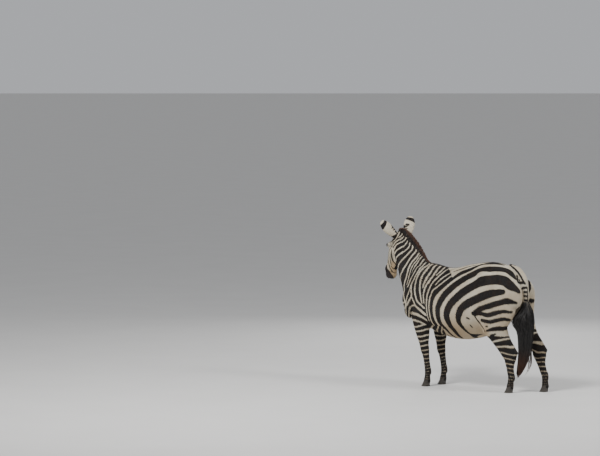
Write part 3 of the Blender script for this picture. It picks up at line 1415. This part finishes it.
def spine_and_belly(p, depth, out):
    """Dark lines along the middle of back and belly."""
    x, _, z = p.T
    side = np.abs(out)
    spine = np.interp(x, (-420, -300, 420), (8, 20, 16)) - side + 3 * wobble(p, 90, 21)
    depth = np.where((z > 1180) & (x < 560) & (x > -640), np.maximum(depth, spine), depth)
    return np.where((z < 700) & (x > -330) & (x < 420), np.maximum(depth, 10 - side), depth)


# Face stripes: places (along the head, degrees round it from the forehead) and half widths.
FACE = {
    "brow_middle": ([(30, 2), (110, 3), (200, 2), (300, 2), (400, 3)], (5, 5, 3)),
    "brow_second": ([(20, 14), (110, 15), (200, 12), (300, 11), (390, 12)], (5, 5, 3)),
    "brow_third": ([(20, 28), (100, 31), (190, 25), (290, 22), (385, 23)], (5, 5, 3)),
    "brow_fourth": ([(26, 42), (100, 47), (150, 46), (210, 38), (290, 34), (385, 36)], (5, 5, 4)),
    "lid_line": ([(60, 58), (120, 60), (150, 66)], (5, 5, 3)),
    "tear": ([(205, 62), (250, 54), (320, 48), (395, 50)], (4, 5, 4)),
    "cheek_first": ([(96, 76), (150, 92), (215, 80), (300, 66), (390, 66)], (4, 5, 4)),
    "jaw_low": ([(200, 176), (290, 174), (380, 168)], (5, 6, 5)),
}
# The same for the side of the face that the photograph shows.
FACE_PIXELS = {
    "rear": ([(391.6, 249.5), (391.3, 252.8), (391.5, 255.8), (392.3, 258.9), (393.5, 261.4), (395, 263.4),
              (396.6, 265)], (5, 9, 9, 7)),
    "cheek": ([(390, 252.5), (390, 257), (390.4, 261), (391.3, 264.5)], (3, 5, 4)),
    "nose_side": ([(387.8, 254), (388.3, 260), (389.1, 264.7), (390.3, 268.6), (392.2, 272.4)], (4, 6, 6, 5)),
    "nose_bridge": ([(386.2, 249), (386.2, 255), (386.8, 261.5)], (3, 5, 4)),
    "jaw_first": ([(391, 265.8), (392.2, 267.5), (393.8, 268.6), (395.4, 268.9)], (4, 6, 5)),
    "jaw_second": ([(391.4, 269.2), (392.8, 271.6), (394.8, 273)], (4, 5, 4)),
    "temple": ([(390.1, 238), (390.6, 240.4)], (7, 9, 7)),
    "temple_low": ([(389.2, 243), (388.8, 247.5)], (2, 3, 2)),
}


def face_line(rows):
    """Points near the skin of the head's left side."""
    rows = np.array(rows, float)
    turn = np.radians(rows[:, 1])
    return from_head(np.column_stack([rows[:, 0], np.sin(turn) * 70, np.cos(turn) * 70 - HEAD_MIDDLE]))


face_lines = laid([on_surface(face_line(rows)) for rows, _ in FACE.values()])
face_strokes = [Stroke(line, widths) for line, (_, widths) in zip(face_lines, FACE.values())]
face_strokes += strokes(FACE_PIXELS).values()


def face_stripes(p):
    """Depth inside the dark of the face's stripes, the same on both sides."""
    s, l, n = to_head(p).T
    matched = from_head(np.column_stack([s, np.abs(l), n]))
    matched = matched + np.column_stack([wobble(p, 60, k) for k in (31, 32, 33)]) * 0.7
    temple = ramp(s, 60, 110) * ramp(-s, -215, -170) * ramp(np.abs(l), 52, 66)
    return inked(-12 + 11.7 * temple, face_strokes, matched)


def bare_skin(p):
    """Dark bare skin of muzzle, nostrils and the rims of the lids."""
    s, turn = round_head(p)
    begins = np.interp(turn, MUZZLE_LINE[:, 1], MUZZLE_LINE[:, 0])
    muzzle = ramp(s - begins + 5 * wobble(p, 50, 41), -7, 7) * is_head(p)
    for eye in EYES.values():
        rel = p - eye.centre
        r = np.linalg.norm(rel, axis=1)
        nose, lift, gaze = (rel @ eye.axes.T).T
        rim = ramp(eye.opening(nose, lift), -7.5, -4.5) * ramp(gaze, 4, 9) * (r < 36)
        muzzle = np.maximum(muzzle, rim)
    return muzzle


def tan_tint(p):
    """How brown the pale coat is: most under the jaw and on the belly, a little on rump and legs."""
    s, turn = round_head(p)
    x, _, z = p.T
    jaw = ramp(s, 290, 360) * ramp(turn, 92, 125) * is_head(p)
    belly = 0.75 * ramp(z, 830, 640) * ramp(x, -420, -330) * ramp(-x, -460, -200)
    rump = 0.35 * ramp(-x, 300, 560) * ramp(z, 560, 700) * ramp(-z, -1150, -980)
    flank = 0.16 * ramp(-z, -1180, -900)
    legs = 0.5 * ramp(-z, -640, -380)
    return np.clip(np.maximum.reduce([jaw, belly, rump, flank, legs]) + 0.1 * wobble(p, 200, 51), 0, 1)


# ---------- the unwrap that the bakes use: rolled-out trunk, neck, head, ears, dock and legs ----------
def leg_of(p):
    """Leg number 1..4 for points on a leg (fore left, fore right, hind left, hind right), else 0."""
    x, y, z = p.T
    fore = (x > 200) & (z < 690)
    hind = (x <= 100) & (z < np.where(np.abs(y) > 70, 780, 640)) & ((z < 640) | (x < -330))
    number = np.where(fore, 1, np.where(hind, 3, 0))
    return np.where(number > 0, number + (y < 0), 0)


LEG_LINES = [side_joints(joints, side) for joints in (FORE_JOINTS, HIND_JOINTS) for side in ("left", "right")]
# Rectangles on the map for trunk, four legs, neck, head, ears left and right, and dock: [u, v, wide, high].
ISLANDS = np.array([
    [0.0, 0.0, 0.60, 0.50], [0.0, 0.52, 0.30, 0.20], [0.31, 0.52, 0.30, 0.20], [0.0, 0.74, 0.30, 0.24],
    [0.31, 0.74, 0.30, 0.24], [0.62, 0.0, 0.37, 0.28], [0.62, 0.30, 0.37, 0.38], [0.62, 0.70, 0.18, 0.14],
    [0.81, 0.70, 0.18, 0.14], [0.62, 0.86, 0.36, 0.12],
])


EAR_ISLANDS = ((7, EARS[1]), (8, EARS[-1]))
EAR_BOX = 75  # half width of the box round an ear
EAR_SEAM = 1.57  # turn at which an ear's front and back meet on the map
DOCK_MIDDLE = 18  # y of the dock's middle


def island_of(p):
    """The number of the map's rectangle for each point."""
    x, y, z = p.T
    kind = leg_of(p)
    at = fold.middle(p)
    kind = np.where((kind == 0) & (at > 0.6) & (x > 560) & (z > 900), 5, kind)
    kind = np.where(is_head(p), 6, kind)
    for number, ear in EAR_ISLANDS:
        across, deep, height = ear.local(p).T
        inside = (np.abs(across) < EAR_BOX) & (np.abs(deep) < EAR_BOX)
        kind = np.where((height > 14) & (height < 232) & inside, number, kind)
    return np.where((x < -640) & (np.abs(y - DOCK_MIDDLE) < 52) & (z > 960) & (z < 1225), 9, kind)


def rolled_out(p, kind):
    """Share along the part and turn round it in radians, each for the part given by kind."""
    x, y, z = p.T
    share = (x + 720) / 1500
    turn = np.arctan2(y, z - 960)
    for k, joints in enumerate(LEG_LINES, 1):
        low_first = np.array(list(joints.values()))[::-1]
        cx = np.interp(z, low_first[:, 2], low_first[:, 0])
        cy = np.interp(z, low_first[:, 2], low_first[:, 1])
        is_it = kind == k
        share = np.where(is_it, (z - 20) / 780, share)
        turn = np.where(is_it, np.arctan2(y - cy, x - cx), turn)
    at = fold.middle(p)
    centre = along(NECK, at)
    side = neck_side(at / NECK_END)
    rel = p - centre[:, :3]
    out = (rel * side).sum(1)
    step = neck_ahead(at)
    up = np.cross(step, side)
    past = (rel * step).sum(1)
    is_it = kind == 5
    share = np.where(is_it, (at + past / 110 + 0.6) / 8, share)
    turn = np.where(is_it, np.arctan2(out, (rel * up).sum(1)), turn)
    s, l, n = to_head(p).T
    share = np.where(kind == 6, (s + 60) / 640, share)
    turn = np.where(kind == 6, np.arctan2(l, n + 95), turn)
    for number, ear in EAR_ISLANDS:
        across, deep, height = ear.local(p).T
        t = np.clip((height + EAR_SUNK) / EAR_LENGTH, 0, 1)
        _, bend, inner = ear.hollow(across, deep, t)
        around = np.arctan2(across, -(deep - bend))
        is_it = kind == number
        share = np.where(is_it, t, share)
        turn = np.where(is_it, (around - EAR_SEAM) * 0.95 * np.where(inner, 1, -1), turn)
    turn = np.where(kind == 9, np.arctan2(y - DOCK_MIDDLE, -(x + 680)), turn)
    share = np.where(kind == 9, (z - 950) / 290, share)
    return share, turn


def on_map(p, kind, like=None):
    """Places on the map; like is a turn that each point's own turn is brought near to."""
    share, turn = rolled_out(p, kind)
    if like is not None:
        turn = turn + 2 * math.pi * np.round((like - turn) / (2 * math.pi))
    u, v, wide, high = ISLANDS[kind].T
    across = np.clip(0.02 + 0.96 * share, 0, 1)
    return np.column_stack([u + wide * across, v + high * (0.5 + 0.94 * turn / (2 * math.pi))])


def skin_map(points, faces):
    """The map's place of each corner of the skin."""
    centres = points[faces].mean(1)
    kind = island_of(centres)
    _, turn = rolled_out(centres, kind)
    corners = points[faces.ravel()].astype(float)
    return on_map(corners, np.repeat(kind, 4), np.repeat(turn, 4))


# ---------- the skin ----------
COAT_LOOK = coat_material("coat")
skin_points, skin_faces = surface(skin_field)
FLESH_NODES = ["head", "neck", "trunk", "ear_left", "ear_right", "tail_dock"]
FLESH_NODES += [f"{end}_{side}_{part}" for end in ("fore", "hind") for side in ("left", "right")
                for part in ("upper", "lower")]


ON_PART = 7  # points this near to an ear's or the dock's own form carry its marks


def ear_marks(p, depth):
    """White-edged ears: a black band under a white tip, bars low on the back, pale hair inside."""
    for ear in EARS.values():
        across, deep, height = ear.local(p).T
        t = (height + EAR_SUNK) / EAR_LENGTH
        here = (t > 0.1) & (ear(p, p.min(0), p.max(0)) < ON_PART)
        half, _, inner = ear.hollow(across, deep, t)
        inward = -across * (1 if ear is EARS[1] else -1) / np.maximum(half, 1)
        band = np.minimum(t - 0.73 - 0.05 * inward, 0.915 - t) * EAR_LENGTH
        band = np.minimum(band, (1.0 - np.abs(inward)) * 60 + 6)
        bars = (np.abs(np.sin(t * 26 + inward * 1.5)) - 0.55) * 14
        bars = np.where((t < 0.48) & (t > 0.1), bars - 9 + 17 * np.maximum(inward, 1.6 - 9 * t), -9)
        blot = 9 - np.hypot((t - 0.5) * EAR_LENGTH, (inward - 0.35) * 34) * 0.6
        bars = np.maximum(bars, blot if ear is EARS[-1] else -9)
        marks = np.maximum(band, bars)
        marks = np.where(inner, np.maximum(-8, 7 - (1 - np.abs(across) / np.maximum(half, 1)) * 60), marks)
        depth = np.where(here, marks, depth)
    return depth


def dock_marks(p, depth):
    """Dark edges and short cross bars down the back of the dock, and lines beside its root."""
    marks = inked(np.full(len(p), -20.0), tail_strokes.values(), p)
    root = (p[:, 0] < -300) & (p[:, 2] > 930) & (np.abs(p[:, 1]) < 110)
    on_dock = root & (evaluate(dock, p.astype(np.float32)) < ON_PART) & (p[:, 0] < -560)
    depth = np.where(root, np.maximum(depth, marks), depth)
    return np.where(on_dock, marks, depth)


def markings(p):
    """What the coat's material reads at each point: depth inside the dark, tan and bare skin."""
    p = np.asarray(p, float)
    depth = ear_marks(p, dock_marks(p, stripes(p)))
    return {"stripe": depth, "tan": tan_tint(p), "bare": bare_skin(p)}


skin_marks = markings(skin_points)
skin = mesh_object("skin", skin_points, skin_faces, values=skin_marks, uv=skin_map(skin_points, skin_faces))
skin.data.materials.append(COAT_LOOK)
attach(skin, "root")
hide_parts(*FLESH_NODES)


# ---------- the coat: flat closed tufts that follow its lie ----------
def lie_of(p, kind):
    """The direction the hair points in, before it is laid flat on the skin."""
    x, _, z = p.T
    back = np.column_stack([-np.ones(len(p)), np.zeros(len(p)), -0.15 - 0.75 * ramp(z, 1300, 900)])
    down = np.array([-0.12, 0, -1.0])
    at = fold.middle(p)
    neck_lie = unit(-0.75 * neck_ahead(at) + [-0.2, 0, -0.75])
    share = (ramp(at, 0.2, 1.6) * ramp(x, 520, 640))[:, None]
    lie = unit(back) * (1 - share) + neck_lie * share
    low = np.maximum(ramp(-z, -860, -660), ramp(x, 620, 720) * ramp(-z, -1150, -950))
    low = np.maximum(low, ramp(-x, 540, 640) * 0.9)[:, None]
    lie = lie * (1 - low) + down * low
    lie = np.where((kind == 6)[:, None], HEAD_DOWN - 0.25 * HEAD_OUT, lie)
    for number, sign in ((7, 1), (8, -1)):
        lie = np.where((kind == number)[:, None], EARS[sign].up, lie)
    return unit(lie)


def face_normals(points, faces):
    """Normals of the faces, each twice as long as its face is large."""
    a, b, c, d = (points[faces[:, k]] for k in range(4))
    return np.cross(c - a, d - b)


def normals_of(points, faces):
    """Normals of the points."""
    n = face_normals(points, faces)
    total = np.zeros_like(points, float)
    for k in range(4):
        np.add.at(total, faces[:, k], n)
    return unit(total)


ROOT_CELL = 22  # roots are spread in the order of cells of this size


def roots(points, faces, density, count, rng):
    """Numbers of the faces that hold a root, spread evenly by area times density."""
    area = 0.5 * np.linalg.norm(face_normals(points, faces), axis=1) * density
    cell = np.floor(points[faces[:, 0]] / ROOT_CELL).astype(int)
    order = np.lexsort((cell[:, 0], cell[:, 1], cell[:, 2]))
    total = np.cumsum(area[order])
    picks = (np.arange(count) + rng.random(count)) / count * total[-1]
    return order[np.minimum(np.searchsorted(total, picks), len(order) - 1)]


def tufts(name, faces, density, count, length, wide, lift, seed):
    """Closed four-sided tufts, each a low ridge from a root line to a point."""
    rng = np.random.default_rng(seed)
    count = int(count / (1))
    chosen = faces[roots(skin_points, faces, density, count, rng)]
    s, t = rng.random((2, count, 1))
    share = [(1 - s) * (1 - t), s * (1 - t), s * t, (1 - s) * t]

    def blend(values):
        return sum(w * values[chosen[:, k]] for k, w in enumerate(share))

    place = blend(skin_points.astype(float))
    normal = unit(blend(skin_normals))
    kind = island_of(place)
    lie = lie_of(place, kind) + rng.normal(size=(count, 3)) * 0.13
    lie = unit(lie - normal * (lie * normal).sum(1)[:, None])
    side = np.cross(normal, lie)
    size = rng.uniform(0.75, 1.2, (count, 1))
    long = length * size
    half = wide * rng.uniform(0.8, 1.2, (count, 1)) / 2
    rise = lift * rng.uniform(0.6, 1.15, (count, 1))
    corners = np.stack([
        place - side * half - normal * 0.5,
        place + side * half - normal * 0.5,
        place + lie * long * 0.45 + normal * rise * 0.85,
        place + lie * long + normal * rise,
    ], 1)
    first = np.arange(count)[:, None] * 4
    shape = np.array([[0, 1, 2], [0, 2, 3], [2, 1, 3], [1, 0, 3]])
    triangles = (first[:, :, None] + shape[None]).reshape(-1, 3)
    values = {}
    for key, value in skin_marks.items():
        values[key] = np.repeat(sum(w[:, 0] * value[chosen[:, k]] for k, w in enumerate(share)), 4)
    patch = np.array([[-0.0015, -0.0015], [0.0015, -0.0015], [0, 0.0003], [0, 0.0015]])
    uv = (on_map(place, kind)[:, None] + patch)[:, shape].reshape(-1, 2)
    made = mesh_object(name, corners.reshape(-1, 3), triangles, smooth=False, values=values, uv=uv)
    made.data.materials.append(COAT_LOOK)
    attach(made, "root")
    return made


skin_normals = normals_of(skin_points, skin_faces)
face_centres = skin_points[skin_faces].mean(1).astype(float)
face_kind = island_of(face_centres)
hairy = 1 - 0.85 * skin_marks["bare"][skin_faces].mean(1)
for eye in EYES.values():
    away = np.linalg.norm(face_centres - eye.centre, axis=1)
    hairy = np.where(away < 27.5, 0, hairy)
TUFTS = {
    # name: islands, side, number, length, width, lift
    "coat_trunk_left": ((0, 9), 1, 47000, 16, 5.2, 2.6),
    "coat_trunk_right": ((0, 9), -1, 47000, 16, 5.2, 2.6),
    "coat_neck": ((5,), 0, 30000, 14, 4.6, 2.4),
    "coat_head": ((6, 7, 8), 0, 46000, 6, 2.3, 1.2),
    "coat_fore_legs": ((1, 2), 0, 30000, 11, 3.8, 1.8),
    "coat_hind_legs": ((3, 4), 0, 44000, 12, 4.2, 2.0),
}
for number, (name, (kinds, half, count, length, wide, lift)) in enumerate(TUFTS.items()):
    inside = np.isin(face_kind, kinds) & ((half == 0) | ((face_centres[:, 1] >= 0) == (half > 0)))
    tufts(name, skin_faces[inside], hairy[inside], count, length, wide, lift, 100 + number)


# ---------- long hair: closed three-sided locks along their own lines ----------
def locks(name, lines, widths, values, look):
    """lines: (locks, steps, 3) places; widths: (locks, steps) half widths; values: per lock and step."""
    lines = np.asarray(lines, float)
    count, steps = lines.shape[:2]
    ahead = unit(np.gradient(lines, axis=1))
    spin = np.random.default_rng(7).uniform(0, FULL_TURN, (count, 1))
    guide = np.stack([np.cos(spin), np.sin(spin), np.zeros_like(spin)], -1)
    side = unit(np.cross(ahead, guide + 0.01))
    other = np.cross(ahead, side)
    corners = ((1.0, 0.0), (-0.5, 0.8), (-0.5, -0.8))
    points = np.stack([lines + (side * a + other * b * 0.6) * widths[..., None] for a, b in corners], 2)
    base = (np.arange(count) * steps * 3)[:, None, None]
    _, quads = loft(np.zeros((steps, 3, 3)))
    last = steps * 3 - 1
    ends = [[2, 1, 0], [last - 2, last - 1, last]]
    two = np.concatenate([quads[:, [0, 1, 2]], quads[:, [0, 2, 3]], ends])
    triangles = (base + two[None]).reshape(-1, 3)
    table = {key: np.repeat(value.reshape(count, steps), 3, axis=1).ravel() for key, value in values.items()}
    grid = int(math.ceil(math.sqrt(count)))
    cell = np.column_stack([np.arange(count) % grid, np.arange(count) // grid]) / grid
    share = np.linspace(0.1, 0.9, steps)
    up, over = np.meshgrid(share, [0.2, 0.5, 0.8], indexing="ij")
    strip = np.stack([up, over], -1).reshape(-1, 2)
    uv = cell[:, None] + strip[None] / grid
    uv = uv[:, two].reshape(-1, 2)
    made = mesh_object(name, points.reshape(-1, 3), triangles, values=table, uv=uv)
    made.data.materials.append(look)
    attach(made, "root")
    return made


def hair_material(name):
    n = Nodes(name)
    fine = n.noise(130, 3.0, stretch=(1, 1, 0.25))
    root = n.mix(n.ramp(n.math("ADD", n.attribute("stripe"), n.math("MULTIPLY_ADD", fine, 8.0, -4.0)), -3, 3),
                 (0.42, 0.36, 0.27, 1), BLACK)
    tip = n.mix(n.attribute("rust"), BLACK, (0.14, 0.048, 0.017, 1))
    tip = n.mix(n.ramp(fine, 0.45, 0.8, 0.0, 0.45), tip, (0.09, 0.075, 0.065, 1))
    n.put(n.shader.inputs["Base Color"], n.mix(n.attribute("tip"), root, tip))
    n.put(n.shader.inputs["Roughness"], n.ramp(fine, 0.2, 0.8, 0.42, 0.6))
    n.bump(n.noise(700, 2.0, stretch=(1, 1, 0.2)), 0.4, 0.0008)
    return n.material


HAIR_LOOK = hair_material("hair")
MANE_STEPS = 6
TAIL_STEPS = 12
HAIR_STEPS = 4
CREST_END = len(CREST) - 1


def make_mane():
    """Upright locks from the crest, striped like the neck at their feet."""
    rng = np.random.default_rng(11)
    count = 4200
    at = np.sort(rng.uniform(0.05, 6.95, count))
    row = along(CREST, at)
    step = along(CREST, np.minimum(at + 0.06, CREST_END)) - along(CREST, np.maximum(at - 0.06, 0))
    out = unit(np.column_stack([-step[:, 2], np.zeros(count), step[:, 0]]))
    lean = neck_side(at / CREST_END)
    across = rng.uniform(-1, 1, count)
    tall = row[:, 3] * (0.97 - 0.22 * across**2) * rng.uniform(0.86, 1.0, count)
    clump = 5 * np.sin(at * 23 + 2 * np.sin(at * 7)) + 3 * np.sin(at * 61)
    ahead = unit(step[:, :3])
    share = np.linspace(0, 1, MANE_STEPS)
    start = row[:, :3] + lean * (across * 14)[:, None] - out * 16
    bow = (clump + rng.normal(size=count) * 3.0)[:, None] * ahead
    bow = bow + lean * (rng.normal(size=count) * 2.2 - across * 5)[:, None]
    lines = (start[:, None] + out[:, None] * (share[:, None] * (tall + 16)[:, None, None])
             + bow[:, None] * (share**2)[:, None] - ahead[:, None] * (share**2)[:, None] * 5)
    widths = (1 - share**2.2)[None] * rng.uniform(2.4, 3.6, count)[:, None] + 0.35
    base = row[:, :3] - out * 30 + lean * (np.sign(across) * 60)[:, None]
    depth = stripes(base)
    values = {
        "stripe": np.repeat(depth, MANE_STEPS),
        "tip": (ramp(share[None], 0.15, 0.55) * np.ones((count, 1)) * 0.96).ravel(),
        "rust": (ramp(share[None], 0.55, 1.0) * rng.uniform(0.2, 1, (count, 1))).ravel(),
    }
    made = locks("mane_locks", lines, widths, values, HAIR_LOOK)
    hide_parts("mane")


def make_tail():
    """Long locks inside the tail's outline, from the end of the dock down, with a wisp and a bulge."""
    rng = np.random.default_rng(12)
    count = 2600
    rows = np.array(TAIL_HAIR, float)
    heights = rows[::-1, 2]

    def column(z, k):
        return np.interp(z, heights, rows[::-1, k])

    turn = rng.uniform(0, 2 * math.pi, count)
    in_wisp = count // 36
    turn[:in_wisp] = rng.uniform(3.5, 3.8, in_wisp)
    radius = np.sqrt(rng.uniform(0.02, 1, count))
    start = np.where(rng.random(count) < 0.6, rng.uniform(930, 1040, count), rng.uniform(700, 960, count))
    end = 138 + 560 * rng.random(count) ** 1.7 + 60 * radius
    share = np.linspace(0, 1, TAIL_STEPS)
    z = start[:, None] + (end - start)[:, None] * share
    fill = np.minimum(1, 0.25 + share * 2.2)[None] * radius[:, None] * 0.97
    sway = np.sin(z / 90 + turn[:, None] * 2) * (4 + 5 * share) * share
    number = np.arange(count)[:, None]
    wisp = (62 * ramp(-z, -470, -230) + 12) * (number < count / 36)
    bulge = 62 * np.exp(-(((z - 775) / 80) ** 2)) * (number > count * 0.78)
    bulge = bulge * rng.uniform(0.3, 1, (count, 1))
    x = column(z, 0) + np.cos(turn)[:, None] * column(z, 4) * fill + sway * 0.6 + bulge * 0.8 - wisp * 0.5
    y = column(z, 1) + np.sin(turn)[:, None] * column(z, 3) * fill + sway + bulge * 0.6 - wisp * 0.87
    lines = np.stack([x, y, z], -1)
    widths = rng.uniform(2.6, 4.4, count)[:, None] * np.minimum(1, 0.5 + 2 * share) * (1 - share**3) + 0.35
    light = (rng.random((count, 1)) < 0.13) & (start[:, None] > 900)
    values = {
        "stripe": np.where(light, -6.0, 8.0) * np.ones((1, TAIL_STEPS)),
        "tip": np.where(light, ramp(share[None], 0.05, 0.35), 0.97) * np.ones((count, TAIL_STEPS)),
        "rust": ramp(-z, -500, -190) * rng.uniform(0.3, 1, (count, 1)),
    }
    made = locks("tail_locks", lines, widths, {k: v.ravel() for k, v in values.items()}, HAIR_LOOK)
    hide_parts("tail_hair")


def make_fine_hair():
    """Lashes, whiskers, hair on the ears' edges and inside them, chin and fetlocks."""
    rng = np.random.default_rng(13)
    lines, widths, pale = [], [], []
    share = np.linspace(0, 1, HAIR_STEPS)

    def hair(start, way, bend, width, light):
        start, way, bend = (np.asarray(v, float) for v in (start, way, bend))
        lines.append(start + share[:, None] * way + (share**2)[:, None] * bend)
        widths.append(width * (1 - share**2) + 0.2)
        pale.append(light)

    for eye in EYES.values():
        for nose in np.linspace(-15, 15, 26):
            lift = 9.4 * (1 - (nose / LID_REACH) ** 2) ** 0.75
            out = math.sqrt(max(1, 26.5**2 - nose**2 - lift**2))
            root = eye.centre + nose * eye.nose + lift * eye.lift + out * eye.gaze
            hair(root, eye.gaze * 11 + eye.nose * nose * 0.25 + eye.lift * 2, -eye.lift * 5, 0.5, 0)
    spots = [
        [rng.uniform(478, 540), rng.choice([-1, 1]) * rng.uniform(14, 44), rng.uniform(-150, -84)]
        for _ in range(46)
    ]
    for root in on_surface(from_head(spots)):
        away = unit(root - from_head([490, 0, -100]))
        hair(root - away * 4, away * rng.uniform(22, 42), HEAD_DOWN * rng.uniform(4, 12), 0.45, 0)
    for ear in EARS.values():
        rim = rng.uniform(0.12, 0.97, 420)
        edge = rng.choice([-1.0, 1.0], 420)
        place = ear.place(rim, edge * rng.uniform(1.2, 1.36, 420), 0.0)
        for p, e in zip(place, edge):
            way = ear.open * rng.uniform(1, 6) - ear.wide * e * rng.uniform(2, 9)
            way = way + ear.up * rng.uniform(7, 15)
            hair(p - ear.up * 3, way, ear.up * 3, 1.1, 1)
        depth = rng.uniform(0.1, 0.72, 520)
        place = ear.place(depth, rng.uniform(-1.1, 1.1, 520), -2.0)
        for p in place:
            hair(p, ear.open * rng.uniform(5, 15) + ear.up * rng.uniform(9, 18), ear.up * 4, 1.1, 1)
    for joints in LEG_LINES:
        spots = [joints["fetlock"] + [-34, rng.uniform(-17, 17), rng.uniform(-26, 12)] for _ in range(90)]
        for root in on_surface(spots):
            hair(root, [-5, 0, -rng.uniform(12, 22)], [2, 0, -4], 1.2, 0)
        turns = np.linspace(0, 2 * math.pi, 90, endpoint=False)
        cx, cy, cz = joints["coronet"]
        ahead, aside = np.cos(turns), np.sin(turns)
        spots = np.column_stack([cx + 4 + 42 * ahead, cy + 38 * aside, cz + 6 - 14 * ahead])
        for turn, root in zip(turns, on_surface(spots, 4)):
            hair(root, [3 * math.cos(turn), 3 * math.sin(turn), -rng.uniform(10, 15)], [0, 0, 0], 1.6, 0)
    pale = np.repeat(np.array(pale, float), HAIR_STEPS)
    values = {"stripe": np.where(pale > 0, -8, 8), "tip": 0.97 * (1 - pale), "rust": np.full(len(pale), 0.15)}
    locks("fine_hair", np.array(lines), np.array(widths), values, HAIR_LOOK)


make_mane()
make_tail()
make_fine_hair()


# ---------- eyes ----------
def eye_material():
    n = Nodes("eye")
    fibres = n.noise(240, 4.0, stretch=(1, 1, 0.5))
    iris = n.mix(n.ramp(fibres, 0.3, 0.7), (0.045, 0.018, 0.007, 1), (0.11, 0.05, 0.02, 1))
    colour = n.mix(n.attribute("pupil"), iris, (0.003, 0.003, 0.004, 1))
    white = n.mix(n.ramp(fibres, 0.4, 0.8), (0.30, 0.24, 0.20, 1), (0.12, 0.075, 0.06, 1))
    n.put(n.shader.inputs["Base Color"], n.mix(n.attribute("white"), colour, white))
    n.put(n.shader.inputs["Roughness"], n.ramp(fibres, 0.2, 0.8, 0.05, 0.12))
    n.shader.inputs["Coat Weight"].default_value = 1.0
    n.shader.inputs["Coat Roughness"].default_value = 0.03
    n.bump(fibres, 0.04, 0.0005)
    return n.material


EYE_LOOK = eye_material()


def make_eye(sign, name):
    """A ball with a raised cornea; the pupil lies level and the white shows only past the iris."""
    eye = EYES[sign]
    turn = np.linspace(0, 2 * math.pi, 64, endpoint=False)
    rings = []
    for polar in np.linspace(0.001, math.pi - 0.001, 40):
        bulge = 1.6 * math.exp(-((polar / 0.62) ** 4))
        reach = EYE_RADIUS - 0.2 + bulge
        aside = np.sin(polar)
        local = np.column_stack([aside * np.cos(turn), aside * np.sin(turn), np.full(64, np.cos(polar))])
        rings.append(eye.centre + reach * local @ eye.axes)
    points, faces = loft(rings)
    if sign > 0:
        faces = faces[:, ::-1]
    rel = unit(points - eye.centre) @ eye.axes.T
    pupil = ramp(-np.hypot(rel[:, 0] / 0.34, rel[:, 1] / 0.2), -1.08, -0.92)
    white = ramp(np.hypot(rel[:, 0], rel[:, 1]), 0.66, 0.76) + (rel[:, 2] < 0)
    made = mesh_object(name + "_ball", points, faces, values={"pupil": pupil, "white": np.clip(white, 0, 1)})
    made.data.materials.append(EYE_LOOK)
    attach(made, "root")
    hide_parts(name)


make_eye(1, "eye_left")
make_eye(-1, "eye_right")


# ---------- hooves ----------
HORN_LOOK = horn_material("horn")
CORONET_TILT = 0.34
WALL_RINGS = 30
SOLE_SHRINK = {WALL_RINGS: 0.9, WALL_RINGS + 1: 0.25}  # the last two rings lie inside the wall, on the sole


def make_hoof(joints, name):
    """An oval wall from the slanted coronet to a flat sole, with growth rings and a heel cleft."""
    coronet = joints["coronet"] - [0, 0, 2]
    turn = np.linspace(0, 2 * math.pi, 72, endpoint=False)
    front = np.where(np.cos(turn) > 0, 1, 0.78)
    rings = []
    for k, down in enumerate([*np.linspace(0, 1, WALL_RINGS), 1.0, 1.0]):
        shrink = SOLE_SHRINK.get(k, 1.0)
        ridge = 1 + 0.012 * math.sin(down * 42) * (1 - down)
        ridge = ridge + 0.045 * math.exp(-(((down - 0.09) / 0.07) ** 2))
        cleft = 1 - 0.16 * np.exp(-((np.abs(turn - math.pi) / 0.2) ** 2)) * ramp(np.array(down), 0.1, 0.8)
        x = coronet[0] + 16 * down + np.cos(turn) * (41 + 14 * down) * front * ridge * cleft * shrink * 0.985
        y = coronet[1] + np.sin(turn) * (38 + 8 * down) * ridge * shrink * 0.985
        z = coronet[2] * (1 - down) - CORONET_TILT * (x - coronet[0]) * (1 - down)
        z = z + (3.0 if k == WALL_RINGS + 1 else 0)
        rings.append(np.column_stack([x, y, np.maximum(z, 0.15)]))
    points, faces = loft(rings)
    piece = mesh_object(name + "_wall", points, faces[:, ::-1])
    piece.data.materials.append(HORN_LOOK)
    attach(piece, "root")
    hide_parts(name)


HOOVES = ("hoof_fore_left", "hoof_fore_right", "hoof_hind_left", "hoof_hind_right")
for joints, name in zip(LEG_LINES, HOOVES):
    make_hoof(joints, name)
